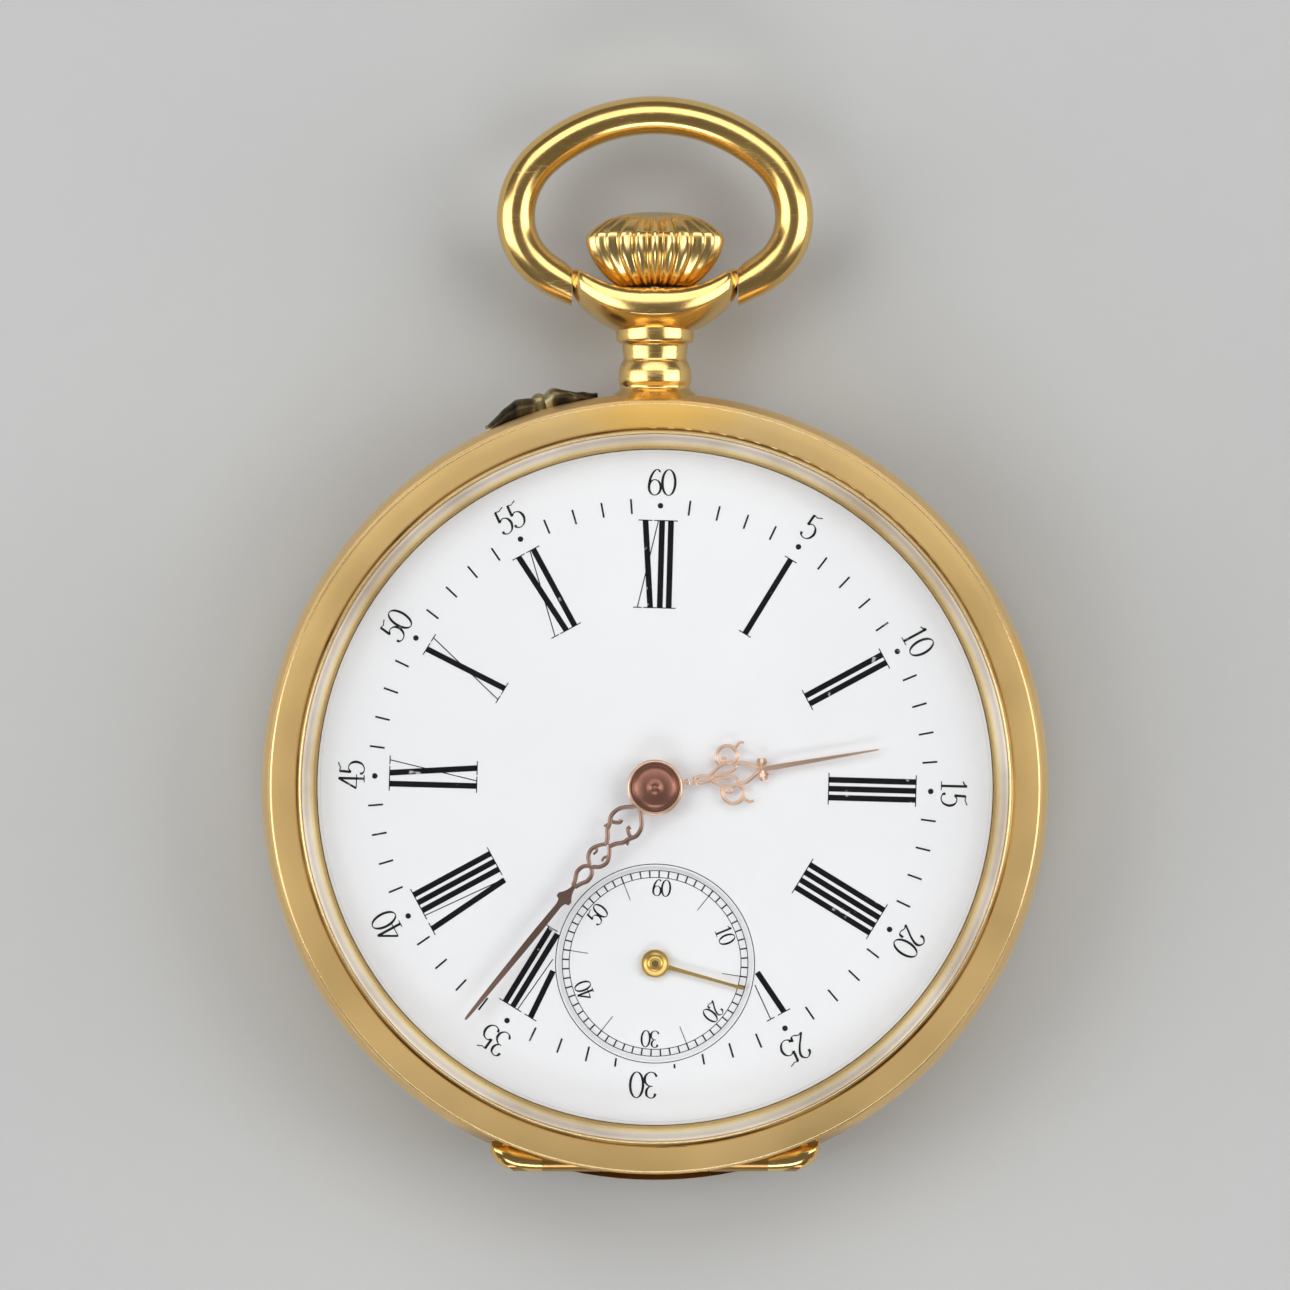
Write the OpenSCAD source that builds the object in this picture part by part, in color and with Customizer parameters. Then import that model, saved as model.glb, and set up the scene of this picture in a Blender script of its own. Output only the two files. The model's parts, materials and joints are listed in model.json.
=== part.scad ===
// Open face pocket watch with an enamel dial and sunk seconds. Millimetres.
// The watch lies on its back: +Z comes out of the dial, +Y points to the pendant.

/* [Case] */
// Diameter of the case band
case_d = 48; // [47.6:0.1:48.2]
// Height of the case and crystal, from the back's resting face
case_h = 12.2; // [12.1:0.05:12.4]
// Wall of the back cover
back_wall = 0.45; // [0.35:0.05:0.5]

/* [Pendant] */
// Diameter of the bow's wire
bow_wire = 2.33; // [2.1:0.01:2.4]
// Distance from the dial's centre to the bow's pivots
bow_pivot_y = 30.46; // [30.4:0.02:30.6]
// Widest diameter of the crown
crown_d = 8.4; // [8:0.1:8.6]
// Number of flutes round the crown
crown_flutes = 24; // [20:1:28]

/* [Dial] */
// Diameter of the dial
dial_d = 41; // [40.6:0.1:41]
// Diameter of the sunk seconds dial
seconds_d = 12.1; // [11.6:0.1:12.2]
// Distance from the dial's centre to the seconds arbor
seconds_y = 10.7; // [10.68:0.01:10.72]

/* [Hidden] */
$fn = 96;

// Colours
gold = "#d9b25f";
rose = "#b98268";
enamel = "#f2f2f0";
gilt = "#c9a85c";
steel = "#9aa0a8";
blued = "#2b3f78";
ruby = "#c02b56";
glass = "#dfeff5";

// Clearances
gap = 0.06;
slip = 0.04;
eps = 0.02;

// Case levels
case_r = case_d / 2;
stem_z = 5.2;
band_low = 3.0;
band_top = 7.95;
band_in = 20.6;
bezel_r = case_r - 0.55;
bezel_in = 20.55;
bezel_top = 9.9;
crystal_low = 9.1;
crystal_r = 21.43;
hinge_y = -(case_r - 1.25);
front_hinge_z = 7.75;
back_hinge_z = 3.2;
knuckle_r = 0.62;
hinge_half = 9.9;
pin_r = 0.3;
pin_half = 8.7;
ear_slant = 49;

// Movement levels
plate_low = 5.8;
plate_top = 7.4;
plate_r = 20.4;
bridge_low = 2.45;
bridge_top = 3.65;
bridge_r = 20.2;
winding_low = 1.95;
winding_top = 2.4;
dial_low = 8.3;
dial_top = 8.9;
hour_hand_z = 9.3;
minute_hand_z = 9.95;

// Wheel sizes: [teeth, module]
centre_gear = [64, 0.2];
centre_pinion = [10, 0.2];
third_pinion = [8, 0.2];
third_gear = [60, 0.19];
fourth_pinion = [8, 0.19];
fourth_gear = [70, 0.14];
escape_pinion = [7, 0.14];
barrel_gear = [80, 0.2];
cannon_gear = [12, 0.22];
minute_gear = [36, 0.22];
minute_pinion = [10, 0.2112];
hour_gear = [40, 0.2112];
setting_gear = [14, 0.22];
crown_gear = [24, 0.3];
ratchet_gear = [48, 0.3];

function pitch_r(g) = g[0] * g[1] / 2;
function spacing(a, b) = pitch_r(a) + pitch_r(b);
function dir(a) = [cos(a), sin(a)];
function angle_to(a, b) = atan2(b[1] - a[1], b[0] - a[0]);
// Where two circles round a and b meet, on the left (side = 1) or right of the line from a to b
function meet(a, ra, b, rb, side) =
    let (d = norm(b - a), along = (ra * ra - rb * rb + d * d) / (2 * d))
    a + along * dir(angle_to(a, b))
      + side * sqrt(ra * ra - along * along) * dir(angle_to(a, b) + 90);
// Phase of a wheel of nb teeth that meshes with one of na teeth whose phase is pa, at angle t from it
function mesh_phase(na, pa, nb, t) = t + 180 - 180 / nb + (t - pa) * na / nb;

// Places of the arbors
centre_at = [0, 0];
fourth_at = [0, -seconds_y];
third_at = meet(centre_at, spacing(centre_gear, third_pinion),
                fourth_at, spacing(third_gear, fourth_pinion), -1);
balance_at = [11, -8.3];
escape_line = angle_to(fourth_at, balance_at);
escape_at = fourth_at + spacing(fourth_gear, escape_pinion) * dir(escape_line);
pallet_at = escape_at + 3.15 * dir(escape_line);
crown_wheel_at = [0, 13.2];
barrel_at = meet(crown_wheel_at, spacing(crown_gear, ratchet_gear),
                 centre_at, spacing(barrel_gear, centre_pinion), 1);
minute_wheel_at = [0, spacing(cannon_gear, minute_gear)];
setting_wheel_at = minute_wheel_at + [0, spacing(minute_gear, setting_gear)];

// Case screws, round the plate's edge
case_screw_angles = [183, -47];
case_screw_r = 19.6;

// Setting works
pin_lean = 16.8;
pin_tip_r = case_r + 0.95;
pin_inner_r = 16.5;
yoke_at = [-8.6, 15];
yoke_low = stem_z - 0.3;
clutch_low = 13.4;
clutch_high = 15.9;
groove_at = 14.35;
winding_pinion_r = 1.95;

// Teeth of a wheel, as an outline: the phase is the angle of one tooth
function tooth(g, a) =
    let (p = 360 / g[0], ro = g[1] * (g[0] / 2 + 0.8), ri = g[1] * (g[0] / 2 - 1.15))
    [ri * dir(a - 0.25 * p), ro * dir(a - 0.09 * p), ro * dir(a + 0.09 * p), ri * dir(a + 0.25 * p)];
module gear(g, low, high, phase = 0, bore = 0) {
    translate([0, 0, low])
    linear_extrude(high - low)
    difference() {
        polygon([for (i = [0:g[0] - 1]) each tooth(g, phase + i * 360 / g[0])]);
        if (bore > 0) circle(bore);
    }
}

// A rim, hub and spokes as one outline between two radii
module spokes(outer, hub, count, width) {
    for (i = [0:count - 1])
        rotate(i * 360 / count)
        translate([hub - 0.2, -width / 2])
        square([outer - hub + 0.4, width]);
}
module crossed_wheel(g, low, high, phase, hub, count, spoke) {
    rim_in = g[1] * (g[0] / 2 - 1.15) - 0.5;
    difference() {
        gear(g, low, high, phase);
        translate([0, 0, low - eps])
        linear_extrude(high - low + 2 * eps)
        difference() {
            circle(rim_in);
            circle(hub);
            spokes(rim_in, hub, count, spoke);
        }
    }
}
module arbor(r, low, high) {
    translate([0, 0, low]) cylinder(r = r, h = high - low, $fn = 48);
}
module at(p) {
    translate([p[0], p[1], 0]) children();
}
module along_y(y, z = stem_z) {
    translate([0, y, z]) rotate([-90, 0, 0]) children();
}
module along_x(x, y, z) {
    translate([x, y, z]) rotate([0, 90, 0]) children();
}
// A flat strap from a round end at a to one at b
module strap(a, ra, b, rb) {
    across = dir(angle_to(a, b) + 90);
    translate(a) circle(ra, $fn = 48);
    translate(b) circle(rb, $fn = 48);
    polygon([a + ra * across, a - ra * across, b - rb * across, b + rb * across]);
}
module screw(head_r, low, head_h, depth, shank_r) {
    difference() {
        union() {
            arbor(head_r, low, low + head_h);
            arbor(shank_r, low + head_h - eps, low + head_h + depth);
        }
        translate([-head_r, -head_r * 0.14, low - eps])
        cube([2 * head_r, head_r * 0.28, head_h * 0.45]);
    }
}

// Case ---------------------------------------------------------------------------------------

module hinge_barrel(z, x0, x1, bore) {
    for (s = [0, 1])
        mirror([s, 0, 0])
        along_x(x0, hinge_y, z)
        difference() {
            cylinder(r = knuckle_r, h = x1 - x0, $fn = 48);
            translate([0, 0, -1]) cylinder(r = bore, h = x1 - x0 + 2, $fn = 32);
        }
}
module hinge_space(z, half, r) {
    along_x(-half, hinge_y, z) cylinder(r = r, h = 2 * half, $fn = 64);
}

module case_middle() {
    color(gold) {
        difference() {
            rotate_extrude($fn = 180)
            difference() {
                intersection() {
                    translate([case_r - 7, (band_low + band_top) / 2]) circle(7);
                    translate([band_in, band_low]) square([6, band_top - band_low]);
                }
                // Ledge for the plate
                translate([band_in - 1, band_low - 1]) square([1.5, plate_low - band_low + 1]);
            }
            // Room for the covers' rims to turn past the band
            intersection() {
                union() {
                    hinge_space(front_hinge_z, 7.6, 1.8);
                    hinge_space(back_hinge_z, 8.6, 1.95);
                }
                translate([-12, hinge_y - 4, 0]) cube([24, 4.35, 12]);
            }
            hinge_space(front_hinge_z, hinge_half + 0.1, knuckle_r + 0.08);
            hinge_space(back_hinge_z, hinge_half + 0.1, knuckle_r + 0.08);
            // Stem and setting pin
            along_y(0) cylinder(r = 0.75, h = 40, $fn = 32);
            rotate(pin_lean) along_y(0) cylinder(r = 0.5 + slip, h = 40, $fn = 32);
            // Seats of the case screws
            for (a = case_screw_angles)
                rotate(a) at([case_screw_r, 0]) arbor(1.06, plate_low - 1, plate_low + 0.3);
        }
        // Side knuckles, joined to the band by short webs, with their outer corners cut to a slant
        for (h = [[front_hinge_z, 3.3, band_top - 0.7], [back_hinge_z, 4.7, band_low]])
            difference() {
                union() {
                    hinge_barrel(h[0], h[1], hinge_half, pin_r);
                    for (s = [-1, 1])
                        translate([s * (h[1] + hinge_half) / 2 - (hinge_half - h[1]) / 2, hinge_y, h[2]])
                        cube([hinge_half - h[1], 1.25, 0.7]);
                }
                hinge_space(h[0], hinge_half + 1, pin_r);
                cylinder(r = band_in + 0.6, h = 12, $fn = 180);
                for (s = [0, 1])
                    mirror([s, 0, 0])
                    translate([9.15, hinge_y - 0.1, h[0] - 1])
                    rotate(-ear_slant)
                    translate([0, -2, 0])
                    cube([2, 4, 2]);
            }
    }
}

module bezel() {
    color(gold) {
        difference() {
            rotate_extrude($fn = 180)
            difference() {
                union() {
                    // Crowned face, falling to the edge
                    intersection() {
                        translate([22.3, bezel_top - 12]) circle(12, $fn = 720);
                        translate([bezel_in, band_top + 0.03]) square([bezel_r - bezel_in, 3]);
                    }
                    // Raised lip round the crystal
                    translate([21.58, bezel_top - 0.13]) circle(0.22, $fn = 32);
                }
                // Groove beside the lip
                translate([21.92, bezel_top + 0.02]) circle(0.18, $fn = 24);
                // Crystal's seat
                translate([bezel_in - 0.1, crystal_low - 0.05]) square([crystal_r + 0.14 - bezel_in, 2]);
                // Rounded outer edge
                translate([bezel_r - 0.15, bezel_top - 0.42])
                rotate(-45)
                square([0.6, 0.6]);
            }
            difference() {
                hinge_space(front_hinge_z, hinge_half + 0.4, knuckle_r + 0.1);
                hinge_space(front_hinge_z, 3.2, knuckle_r + 0.2);
            }
            hinge_space(front_hinge_z, 3.3, pin_r + slip);
        }
        hinge_barrel(front_hinge_z, 0, 3.2, pin_r + slip);
        // Thumbnail lip
        rotate(19.5)
        translate([bezel_r - 0.35, -1.3, band_top + 0.03])
        cube([0.62, 2.6, 0.35]);
    }
}

module crystal() {
    outer_dome = 170;
    inner_dome = 200;
    glass_wall = 1.05;
    edge_r = crystal_r;
    color(glass, 0.35)
    rotate_extrude($fn = 180)
    difference() {
        intersection() {
            translate([0, case_h - outer_dome]) circle(outer_dome, $fn = 1440);
            translate([0, crystal_low]) square([edge_r, 4]);
        }
        // Hollow over the dial
        intersection() {
            translate([0, case_h - glass_wall - inner_dome]) circle(inner_dome, $fn = 1440);
            translate([-1, 9]) square([21.3, 4]);
        }
        // Bevel round the edge
        polygon([[edge_r + 1, 9.95], [edge_r, 9.95], [20.65, 10.86], [20.55, 12], [edge_r + 1, 12]]);
    }
}

// The back's outer surface: a flat resting face, then a curve up to the band
back_flat = 14;
back_rise = band_low - 0.05;
function back_z(r) = r < back_flat ? 0 : back_rise * pow((r - back_flat) / (case_r - 0.1 - back_flat), 3.6);
module back_shell(r_out, lift) {
    rotate_extrude($fn = 180)
    polygon(concat(
        [[0, lift]],
        [for (i = [0:14]) let (r = back_flat + (r_out - back_flat) * i / 14) [r, back_z(r) + lift]],
        [[r_out, band_low + lift], [0, band_low + lift]]));
}
module back_cover() {
    color(gold)
    difference() {
        union() {
            intersection() {
                difference() {
                    back_shell(case_r - 0.1, 0);
                    back_shell(case_r - 0.6, back_wall);
                }
                translate([0, 0, -1]) cylinder(r = 30, h = band_low - 0.05 + 1, $fn = 180);
            }
            hinge_barrel(back_hinge_z, 0, 2.4, pin_r + slip);
            intersection() {
                translate([-2.4, hinge_y - 0.55, 1.2]) cube([4.8, 1.1, back_hinge_z - 1.5]);
                back_shell(case_r - 0.1, 0);
            }
            translate([-2.4, hinge_y - 0.5, band_low - 0.4]) cube([4.8, 1, 0.4]);
        }
        difference() {
            hinge_space(back_hinge_z, hinge_half + 0.4, knuckle_r + 0.1);
            hinge_space(back_hinge_z, 2.4, knuckle_r + 0.2);
        }
        hinge_space(back_hinge_z, 2.5, pin_r + slip);
    }
}

module cuvette() {
    low = 1.32;
    r = 20.9;
    color(gold)
    difference() {
        union() {
            translate([0, 0, low]) cylinder(r = r, h = 0.33, $fn = 180);
            difference() {
                translate([0, 0, low]) cylinder(r = r, h = 0.75, $fn = 180);
                translate([0, 0, low - 1]) cylinder(r = r - 0.4, h = 4, $fn = 180);
            }
            hinge_barrel(back_hinge_z, 2.5, 4.6, pin_r + slip);
            for (s = [-1, 1])
                translate([s * 3.55 - 1.05, 0, 0])
                rotate([90, 0, 90])
                linear_extrude(2.1)
                polygon([[-20.3, low], [-20.3, low + 0.75], [-21.3, low + 1.15],
                         [hinge_y + 0.3, back_hinge_z - 0.3], [hinge_y - 0.1, back_hinge_z - 0.4],
                         [-21.9, low + 1.05], [-21, low + 0.4]]);
        }
        hinge_space(back_hinge_z, 6, pin_r + slip);
    }
}

module hinge_pins() {
    color(gold)
    for (z = [front_hinge_z, back_hinge_z])
        along_x(-pin_half, hinge_y, z) cylinder(r = pin_r, h = 2 * pin_half, $fn = 32);
}

// Pendant, bow and crown ------------------------------------------------------------------------

module round_y(points) {
    along_y(0)
    rotate_extrude($fn = 96)
    polygon(points);
}
module band_curve(r) {
    rotate_extrude($fn = 180)
    intersection() {
        translate([r - 7, (band_low + band_top) / 2]) circle(7);
        translate([0, band_low]) square([r + 1, band_top - band_low]);
    }
}
module pendant() {
    color(gold)
    difference() {
        union() {
            // Neck with its rings
            round_y([[0, case_r - 0.9], [3.1, case_r - 0.9], [2.7, case_r - 0.35], [2.2, case_r + 0.05],
                     [2.05, case_r + 0.35], [2.2, case_r + 0.6], [2.2, case_r + 1.5], [1.95, case_r + 1.9],
                     [1.97, 27.0], [2.3, 27.3], [2.38, 27.6], [2.3, 27.9], [0, 28.2]]);
            // Cradle
            intersection() {
                along_y(0)
                rotate_extrude($fn = 96)
                intersection() {
                    translate([0.5, 31.4]) circle(4.55);
                    translate([0, 27.4]) square([6, 4.4]);
                }
                along_x(-6, 31.7, stem_z) cylinder(r = 4.3, h = 12);
            }
        }
        // Saddle between the ears
        translate([0, 39.4, 0]) cylinder(r = 9.1, h = 12, $fn = 180);
        // Room for the crown
        along_y(30.25)
        rotate_extrude($fn = 96)
        polygon([[0, 0], [1.7, 0], [3.0, 0.65], [4.0, 1.6], [4.5, 2.6], [0, 2.6]]);
        // Stem's bore and the bow's pivot holes
        along_y(20) cylinder(r = 0.6 + gap, h = 14, $fn = 32);
        // Foot, fitted to the band's curve and clear of the bezel and the back cover
        band_curve(case_r - 0.03);
        cylinder(r = case_r - 0.6, h = 12, $fn = 180);
        translate([-5, 0, -5]) cube([10, case_r + 0.05, 5 + band_low]);
        translate([-5, 0, band_top]) cube([10, bezel_r + 0.1, 5]);
        for (s = [-1, 1])
            along_x(s * 4.4 - 1, bow_pivot_y, stem_z) cylinder(r = 0.4 + slip, h = 2, $fn = 32);
    }
}

// The bow's centre line on the right, from the top: arcs of [centre, radius, from, to, steps]
bow_arcs = [
    [[0, 30.59], 10.38, 90, 49.07, 8],
    [[3.59, 34.73], 4.9, 49.07, 0, 8],
    [[4.59, 34.73], 3.9, 0, -50, 8],
    [[2.6, 37.1], 7, -50, -62, 2]
];
bow_end_x = 5.08;
bow_sides = 20;
// Points of the centre line with the angle of the section's normal
bow_right = concat(
    [for (a = bow_arcs) for (i = [0:a[4] - 1])
        let (t = a[2] + (a[3] - a[2]) * i / a[4]) [a[0] + a[1] * dir(t), t]],
    [[[bow_end_x, bow_pivot_y], -90]]);
bow_line = concat(
    [for (i = [len(bow_right) - 1:-1:1]) let (b = bow_right[i]) [[-b[0][0], b[0][1]], 180 - b[1]]],
    bow_right);
module bow() {
    rings = len(bow_line);
    n = bow_sides;
    points = [for (b = bow_line) for (k = [0:n - 1])
        let (c = bow_wire / 2 * cos(k * 360 / n), h = bow_wire / 2 * sin(k * 360 / n))
        [b[0][0] + c * cos(b[1]), b[0][1] + c * sin(b[1]), stem_z + h]];
    walls = [for (i = [0:rings - 2]) for (k = [0:n - 1])
        let (a = i * n + k, b = i * n + (k + 1) % n)
        each [[a, b + n, b], [a, a + n, b + n]]];
    caps = [[for (k = [0:n - 1]) k], [for (k = [n - 1:-1:0]) (rings - 1) * n + k]];
    color(gold) {
        polyhedron(points, concat(walls, caps));
        for (s = [-1, 1])
            along_x(s * 4.75 - 0.55, bow_pivot_y, stem_z) cylinder(r = 0.4, h = 1.1, $fn = 32);
    }
}

module crown() {
    r = crown_d / 2;
    color(gold)
    difference() {
        intersection() {
            round_y([[0, 30.42], [1.3, 30.42], [2.5, 30.9], [3.3, 31.5], [3.8, 32.2], [r - 0.08, 32.9],
                     [r, 33.5], [r - 0.12, 34.1], [r - 0.9, 34.6], [r - 2.1, 34.95], [0, 35.08]]);
            along_y(30)
            linear_extrude(6)
            difference() {
                circle(r + 0.1);
                for (i = [0:crown_flutes - 1])
                    rotate(i * 360 / crown_flutes)
                    translate([r + 0.12, 0])
                    circle(0.34, $fn = 24);
            }
        }
        along_y(30) cylinder(r = 0.6, h = 2.5, $fn = 32);
    }
}

module winding_stem() {
    color(steel)
    along_y(0)
    translate([0, 0, 12])
    cylinder(r = 0.6, h = 20.5, $fn = 32);
}
module winding_pinion() {
    color(steel)
    along_y(clutch_high + 0.05)
    difference() {
        linear_extrude(1.65)
        difference() {
            circle(winding_pinion_r);
            for (i = [0:11]) rotate(i * 30) translate([winding_pinion_r, 0]) circle(0.22, $fn = 16);
        }
        translate([0, 0, -1]) cylinder(r = 0.6, h = 4, $fn = 32);
    }
}
module clutch_wheel() {
    color(steel)
    along_y(0)
    difference() {
        translate([0, 0, clutch_low]) cylinder(r = 1.25, h = clutch_high - clutch_low, $fn = 48);
        translate([0, 0, clutch_low - 1]) cylinder(r = 0.6 + slip, h = 5, $fn = 32);
        translate([0, 0, groove_at - 0.35])
        difference() {
            cylinder(r = 2, h = 0.7, $fn = 32);
            cylinder(r = 0.85, h = 0.7, $fn = 32);
        }
        for (i = [0:9])
            rotate(i * 36)
            translate([0.95, -0.12, clutch_low - 0.1])
            cube([0.6, 0.24, 0.35]);
    }
}

module setting_pin() {
    color(gold)
    rotate(pin_lean) {
        along_y(pin_inner_r) cylinder(r = 0.5, h = pin_tip_r - 0.4 - pin_inner_r, $fn = 32);
        along_y(pin_tip_r - 0.4)
        intersection() {
            sphere(r = 0.5, $fn = 32);
            cylinder(r = 0.5, h = 1, $fn = 32);
        }
    }
}
module setting_pin_guard() {
    color("#8a7745")
    difference() {
        rotate(pin_lean)
        for (s = [0, 1])
            mirror([s, 0, 0])
            translate([0, 0, stem_z - 1.1])
            linear_extrude(2.2)
            polygon([[0.75, 23.5], [0.8, 24.6], [1.2, 24.95], [1.7, 25.0],
                     [2.3, 24.75], [3.2, 24.15], [3.6, 23.4]]);
        cylinder(r = case_r - 0.02, h = 12, $fn = 180);
    }
}

// Dial and hands ------------------------------------------------------------------------------

module dial() {
    color(enamel)
    translate([0, 0, dial_low])
    difference() {
        cylinder(r = dial_d / 2, h = dial_top - dial_low, $fn = 180);
        translate([0, 0, -1]) cylinder(r = 1.2, h = 3);
        at(fourth_at) translate([0, 0, -1]) cylinder(r = seconds_d / 2 - 0.15, h = 3);
        at(fourth_at) translate([0, 0, -1]) cylinder(r = seconds_d / 2 + 0.25, h = 1.2);
    }
}
module seconds_dial() {
    color(enamel)
    at(fourth_at)
    difference() {
        arbor(seconds_d / 2 + 0.2, dial_low - 0.1, dial_low + 0.18);
        arbor(0.45, dial_low - 1, dial_top + 1);
    }
}
hour_hand_angle = 90 - 80.4;
minute_hand_angle = 90 - 219.3;
seconds_hand_angle = 90 - 105.4;
module hour_hand() {
    color(rose)
    rotate(hour_hand_angle)
    translate([0, 0, hour_hand_z])
    linear_extrude(0.22)
    difference() {
        union() {
            circle(1.5);
            polygon([[1.2, -0.3], [3, -0.25], [4.2, -0.55], [5.4, -0.25], [6.2, -0.35], [13.78, 0],
                     [6.2, 0.35], [5.4, 0.25], [4.2, 0.55], [3, 0.25], [1.2, 0.3]]);
            for (s = [-1, 1])
                translate([4.9, s * 0.9])
                difference() {
                    circle(0.75, $fn = 32);
                    circle(0.5, $fn = 32);
                }
        }
        circle(1.0 - 0.002, $fn = 48);
    }
}
module minute_hand() {
    color(rose)
    rotate(minute_hand_angle)
    translate([0, 0, minute_hand_z]) {
        linear_extrude(0.2)
        difference() {
            union() {
                circle(1.68);
                polygon([[1.4, -0.25], [3, -0.2], [6.2, -0.16], [8, -0.45], [9.2, -0.3], [18.2, 0],
                         [9.2, 0.3], [8, 0.45], [6.2, 0.16], [3, 0.2], [1.4, 0.25]]);
                for (x = [3, 5.2])
                    translate([x, 0])
                    difference() {
                        circle(0.85 - x * 0.05, $fn = 32);
                        circle(0.6 - x * 0.05, $fn = 32);
                    }
            }
            circle(0.62, $fn = 48);
        }
        // Domed boss
        translate([0, 0, 0.2])
        difference() {
            cylinder(r = 1.1, h = 0.3, $fn = 48);
            translate([0, 0, -1]) cylinder(r = 0.62, h = 3, $fn = 48);
        }
    }
}
module seconds_hand() {
    color(gold)
    at(fourth_at)
    rotate(seconds_hand_angle)
    translate([0, 0, dial_top - 0.15])
    linear_extrude(0.15)
    difference() {
        union() {
            circle(0.84, $fn = 48);
            polygon([[0.5, -0.22], [5.76, -0.03], [5.76, 0.03], [0.5, 0.22]]);
        }
        circle(0.2, $fn = 24);
    }
}

// Motion works ----------------------------------------------------------------------------------

cannon_phase = 0;
minute_wheel_phase = mesh_phase(cannon_gear[0], cannon_phase, minute_gear[0], 90);
minute_pinion_phase = 0;
hour_phase = mesh_phase(minute_pinion[0], minute_pinion_phase, hour_gear[0], -90);
setting_phase = mesh_phase(minute_gear[0], minute_wheel_phase, setting_gear[0], 90);

module cannon_pinion() {
    color(steel)
    difference() {
        union() {
            gear(cannon_gear, plate_top + 0.06, plate_top + 0.44, cannon_phase);
            arbor(0.62, plate_top + 0.06, minute_hand_z + 0.55);
        }
        arbor(0.3, plate_top - 1, minute_hand_z + 1);
    }
}
module minute_wheel() {
    color(gilt)
    at(minute_wheel_at) {
        gear(minute_gear, plate_top + 0.08, plate_top + 0.3, minute_wheel_phase, 0.3);
        gear(minute_pinion, plate_top + 0.3, plate_top + 0.8, minute_pinion_phase, 0.3);
    }
}
module hour_wheel() {
    color(gilt)
    difference() {
        union() {
            gear(hour_gear, plate_top + 0.52, plate_top + 0.72, hour_phase);
            arbor(1.0, plate_top + 0.52, hour_hand_z + 0.3);
        }
        arbor(0.62 + gap, plate_top, hour_hand_z + 1);
    }
}
module setting_wheel() {
    color(steel)
    at(setting_wheel_at)
    gear(setting_gear, plate_top + 0.08, plate_top + 0.3, setting_phase, 0.5);
}

// Plates and bridges ------------------------------------------------------------------------------

jewelled = [third_at, fourth_at, escape_at, pallet_at, balance_at];
pivot_hole = 0.16;
jewel_r = 0.7;

module main_plate() {
    color(gilt)
    difference() {
        arbor_plate();
        // Pivot holes and jewel seats
        arbor(0.65, 0, 12);
        for (p = jewelled) at(p) arbor(jewel_r, 0, 12);
        at(barrel_at) arbor(0.8, 0, 12);
        // Recess for the setting works
        translate([-2.2, 12.1, plate_low - 1]) cube([4.4, 10, 1 + 1.4]);
        rotate(pin_lean) along_y(10) cylinder(r = 0.6, h = 14, $fn = 32);
        // Screw holes
        for (p = bridge_screw_at) at(p) arbor(0.35, 0, 12);
        for (a = case_screw_angles) rotate(a) at([case_screw_r, 0]) arbor(0.35, 0, 12);
    }
    // Posts of the motion works
    color(steel)
    for (p = [[minute_wheel_at, 0.25], [setting_wheel_at, 0.45]])
        at(p[0]) arbor(p[1], plate_top - 0.1, plate_top + 0.75);
    // Post of the yoke
    at(yoke_at) arbor(0.4, yoke_low, plate_low + 0.1);
}
module arbor_plate() {
    translate([0, 0, plate_low]) cylinder(r = plate_r, h = plate_top - plate_low, $fn = 180);
}

bridge_screw_at = [[-17.4, 6.4], [15.6, 10.4], [-8.6, 17], [8.6, 17],
                   [-16.4, -7.6], [-5.6, -18], [17.3, -1], [6.2, -16.2]];

module slab(points, low, high) {
    translate([0, 0, low])
    linear_extrude(high - low)
    intersection() {
        circle(bridge_r, $fn = 180);
        polygon(points);
    }
}
module barrel_bridge() {
    outline = [[-21, 3], [-3, 3], [-2.6, -1.9], [2.6, -2.3], [9, -3],
               [13.6, 1.9], [21, 1.9], [21, 21], [-21, 21]];
    color(gilt)
    difference() {
        union() {
            slab(outline, bridge_low, bridge_top);
            // Foot round the rim
            difference() {
                slab(outline, bridge_top - eps, plate_low);
                translate([0, 0, 1]) cylinder(r = 17.9, h = 6, $fn = 180);
            }
        }
        translate([-2.15, 14.1, 0]) cube([4.3, 8, 8]);
        rotate(pin_lean) along_y(10) cylinder(r = 0.6, h = 14, $fn = 32);
        // Room for the yoke
        at(yoke_at) arbor(1.3, bridge_top + 0.3, plate_low + 1);
        // Groove for the crown wheel's lower teeth
        at(crown_wheel_at)
        difference() {
            arbor(3.5, bridge_low - 1, bridge_top - 0.3);
            arbor(2.75, bridge_low - 2, bridge_top);
        }
        at(crown_wheel_at) arbor(0.35, 0, 8);
        arbor(jewel_r, 0, 8);
        at(barrel_at) arbor(0.8, 0, 8);
        at(click_at) arbor(0.3, 0, 8);
        for (i = [0:3]) at(bridge_screw_at[i]) arbor(0.36, 0, 8);
    }
}
module train_bridge() {
    outline = [[-21, 2], [-4.5, 2], [-3.4, -3.4], [3.8, -7.4], [6.9, -8.2],
               [6.9, -11.2], [3.2, -13], [3.2, -21], [-21, -21]];
    color(gilt)
    difference() {
        union() {
            slab(outline, bridge_low, bridge_top);
            difference() {
                slab(outline, bridge_top - eps, plate_low);
                translate([0, 0, 1]) cylinder(r = 17.2, h = 6, $fn = 180);
                for (a = case_screw_angles) rotate(a) at([case_screw_r, 0]) arbor(1.3, 0, 8);
            }
        }
        for (i = [0:2]) at(jewelled[i]) arbor(jewel_r, 0, 8);
        for (i = [4:5]) at(bridge_screw_at[i]) arbor(0.36, 0, 8);
    }
}
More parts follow.
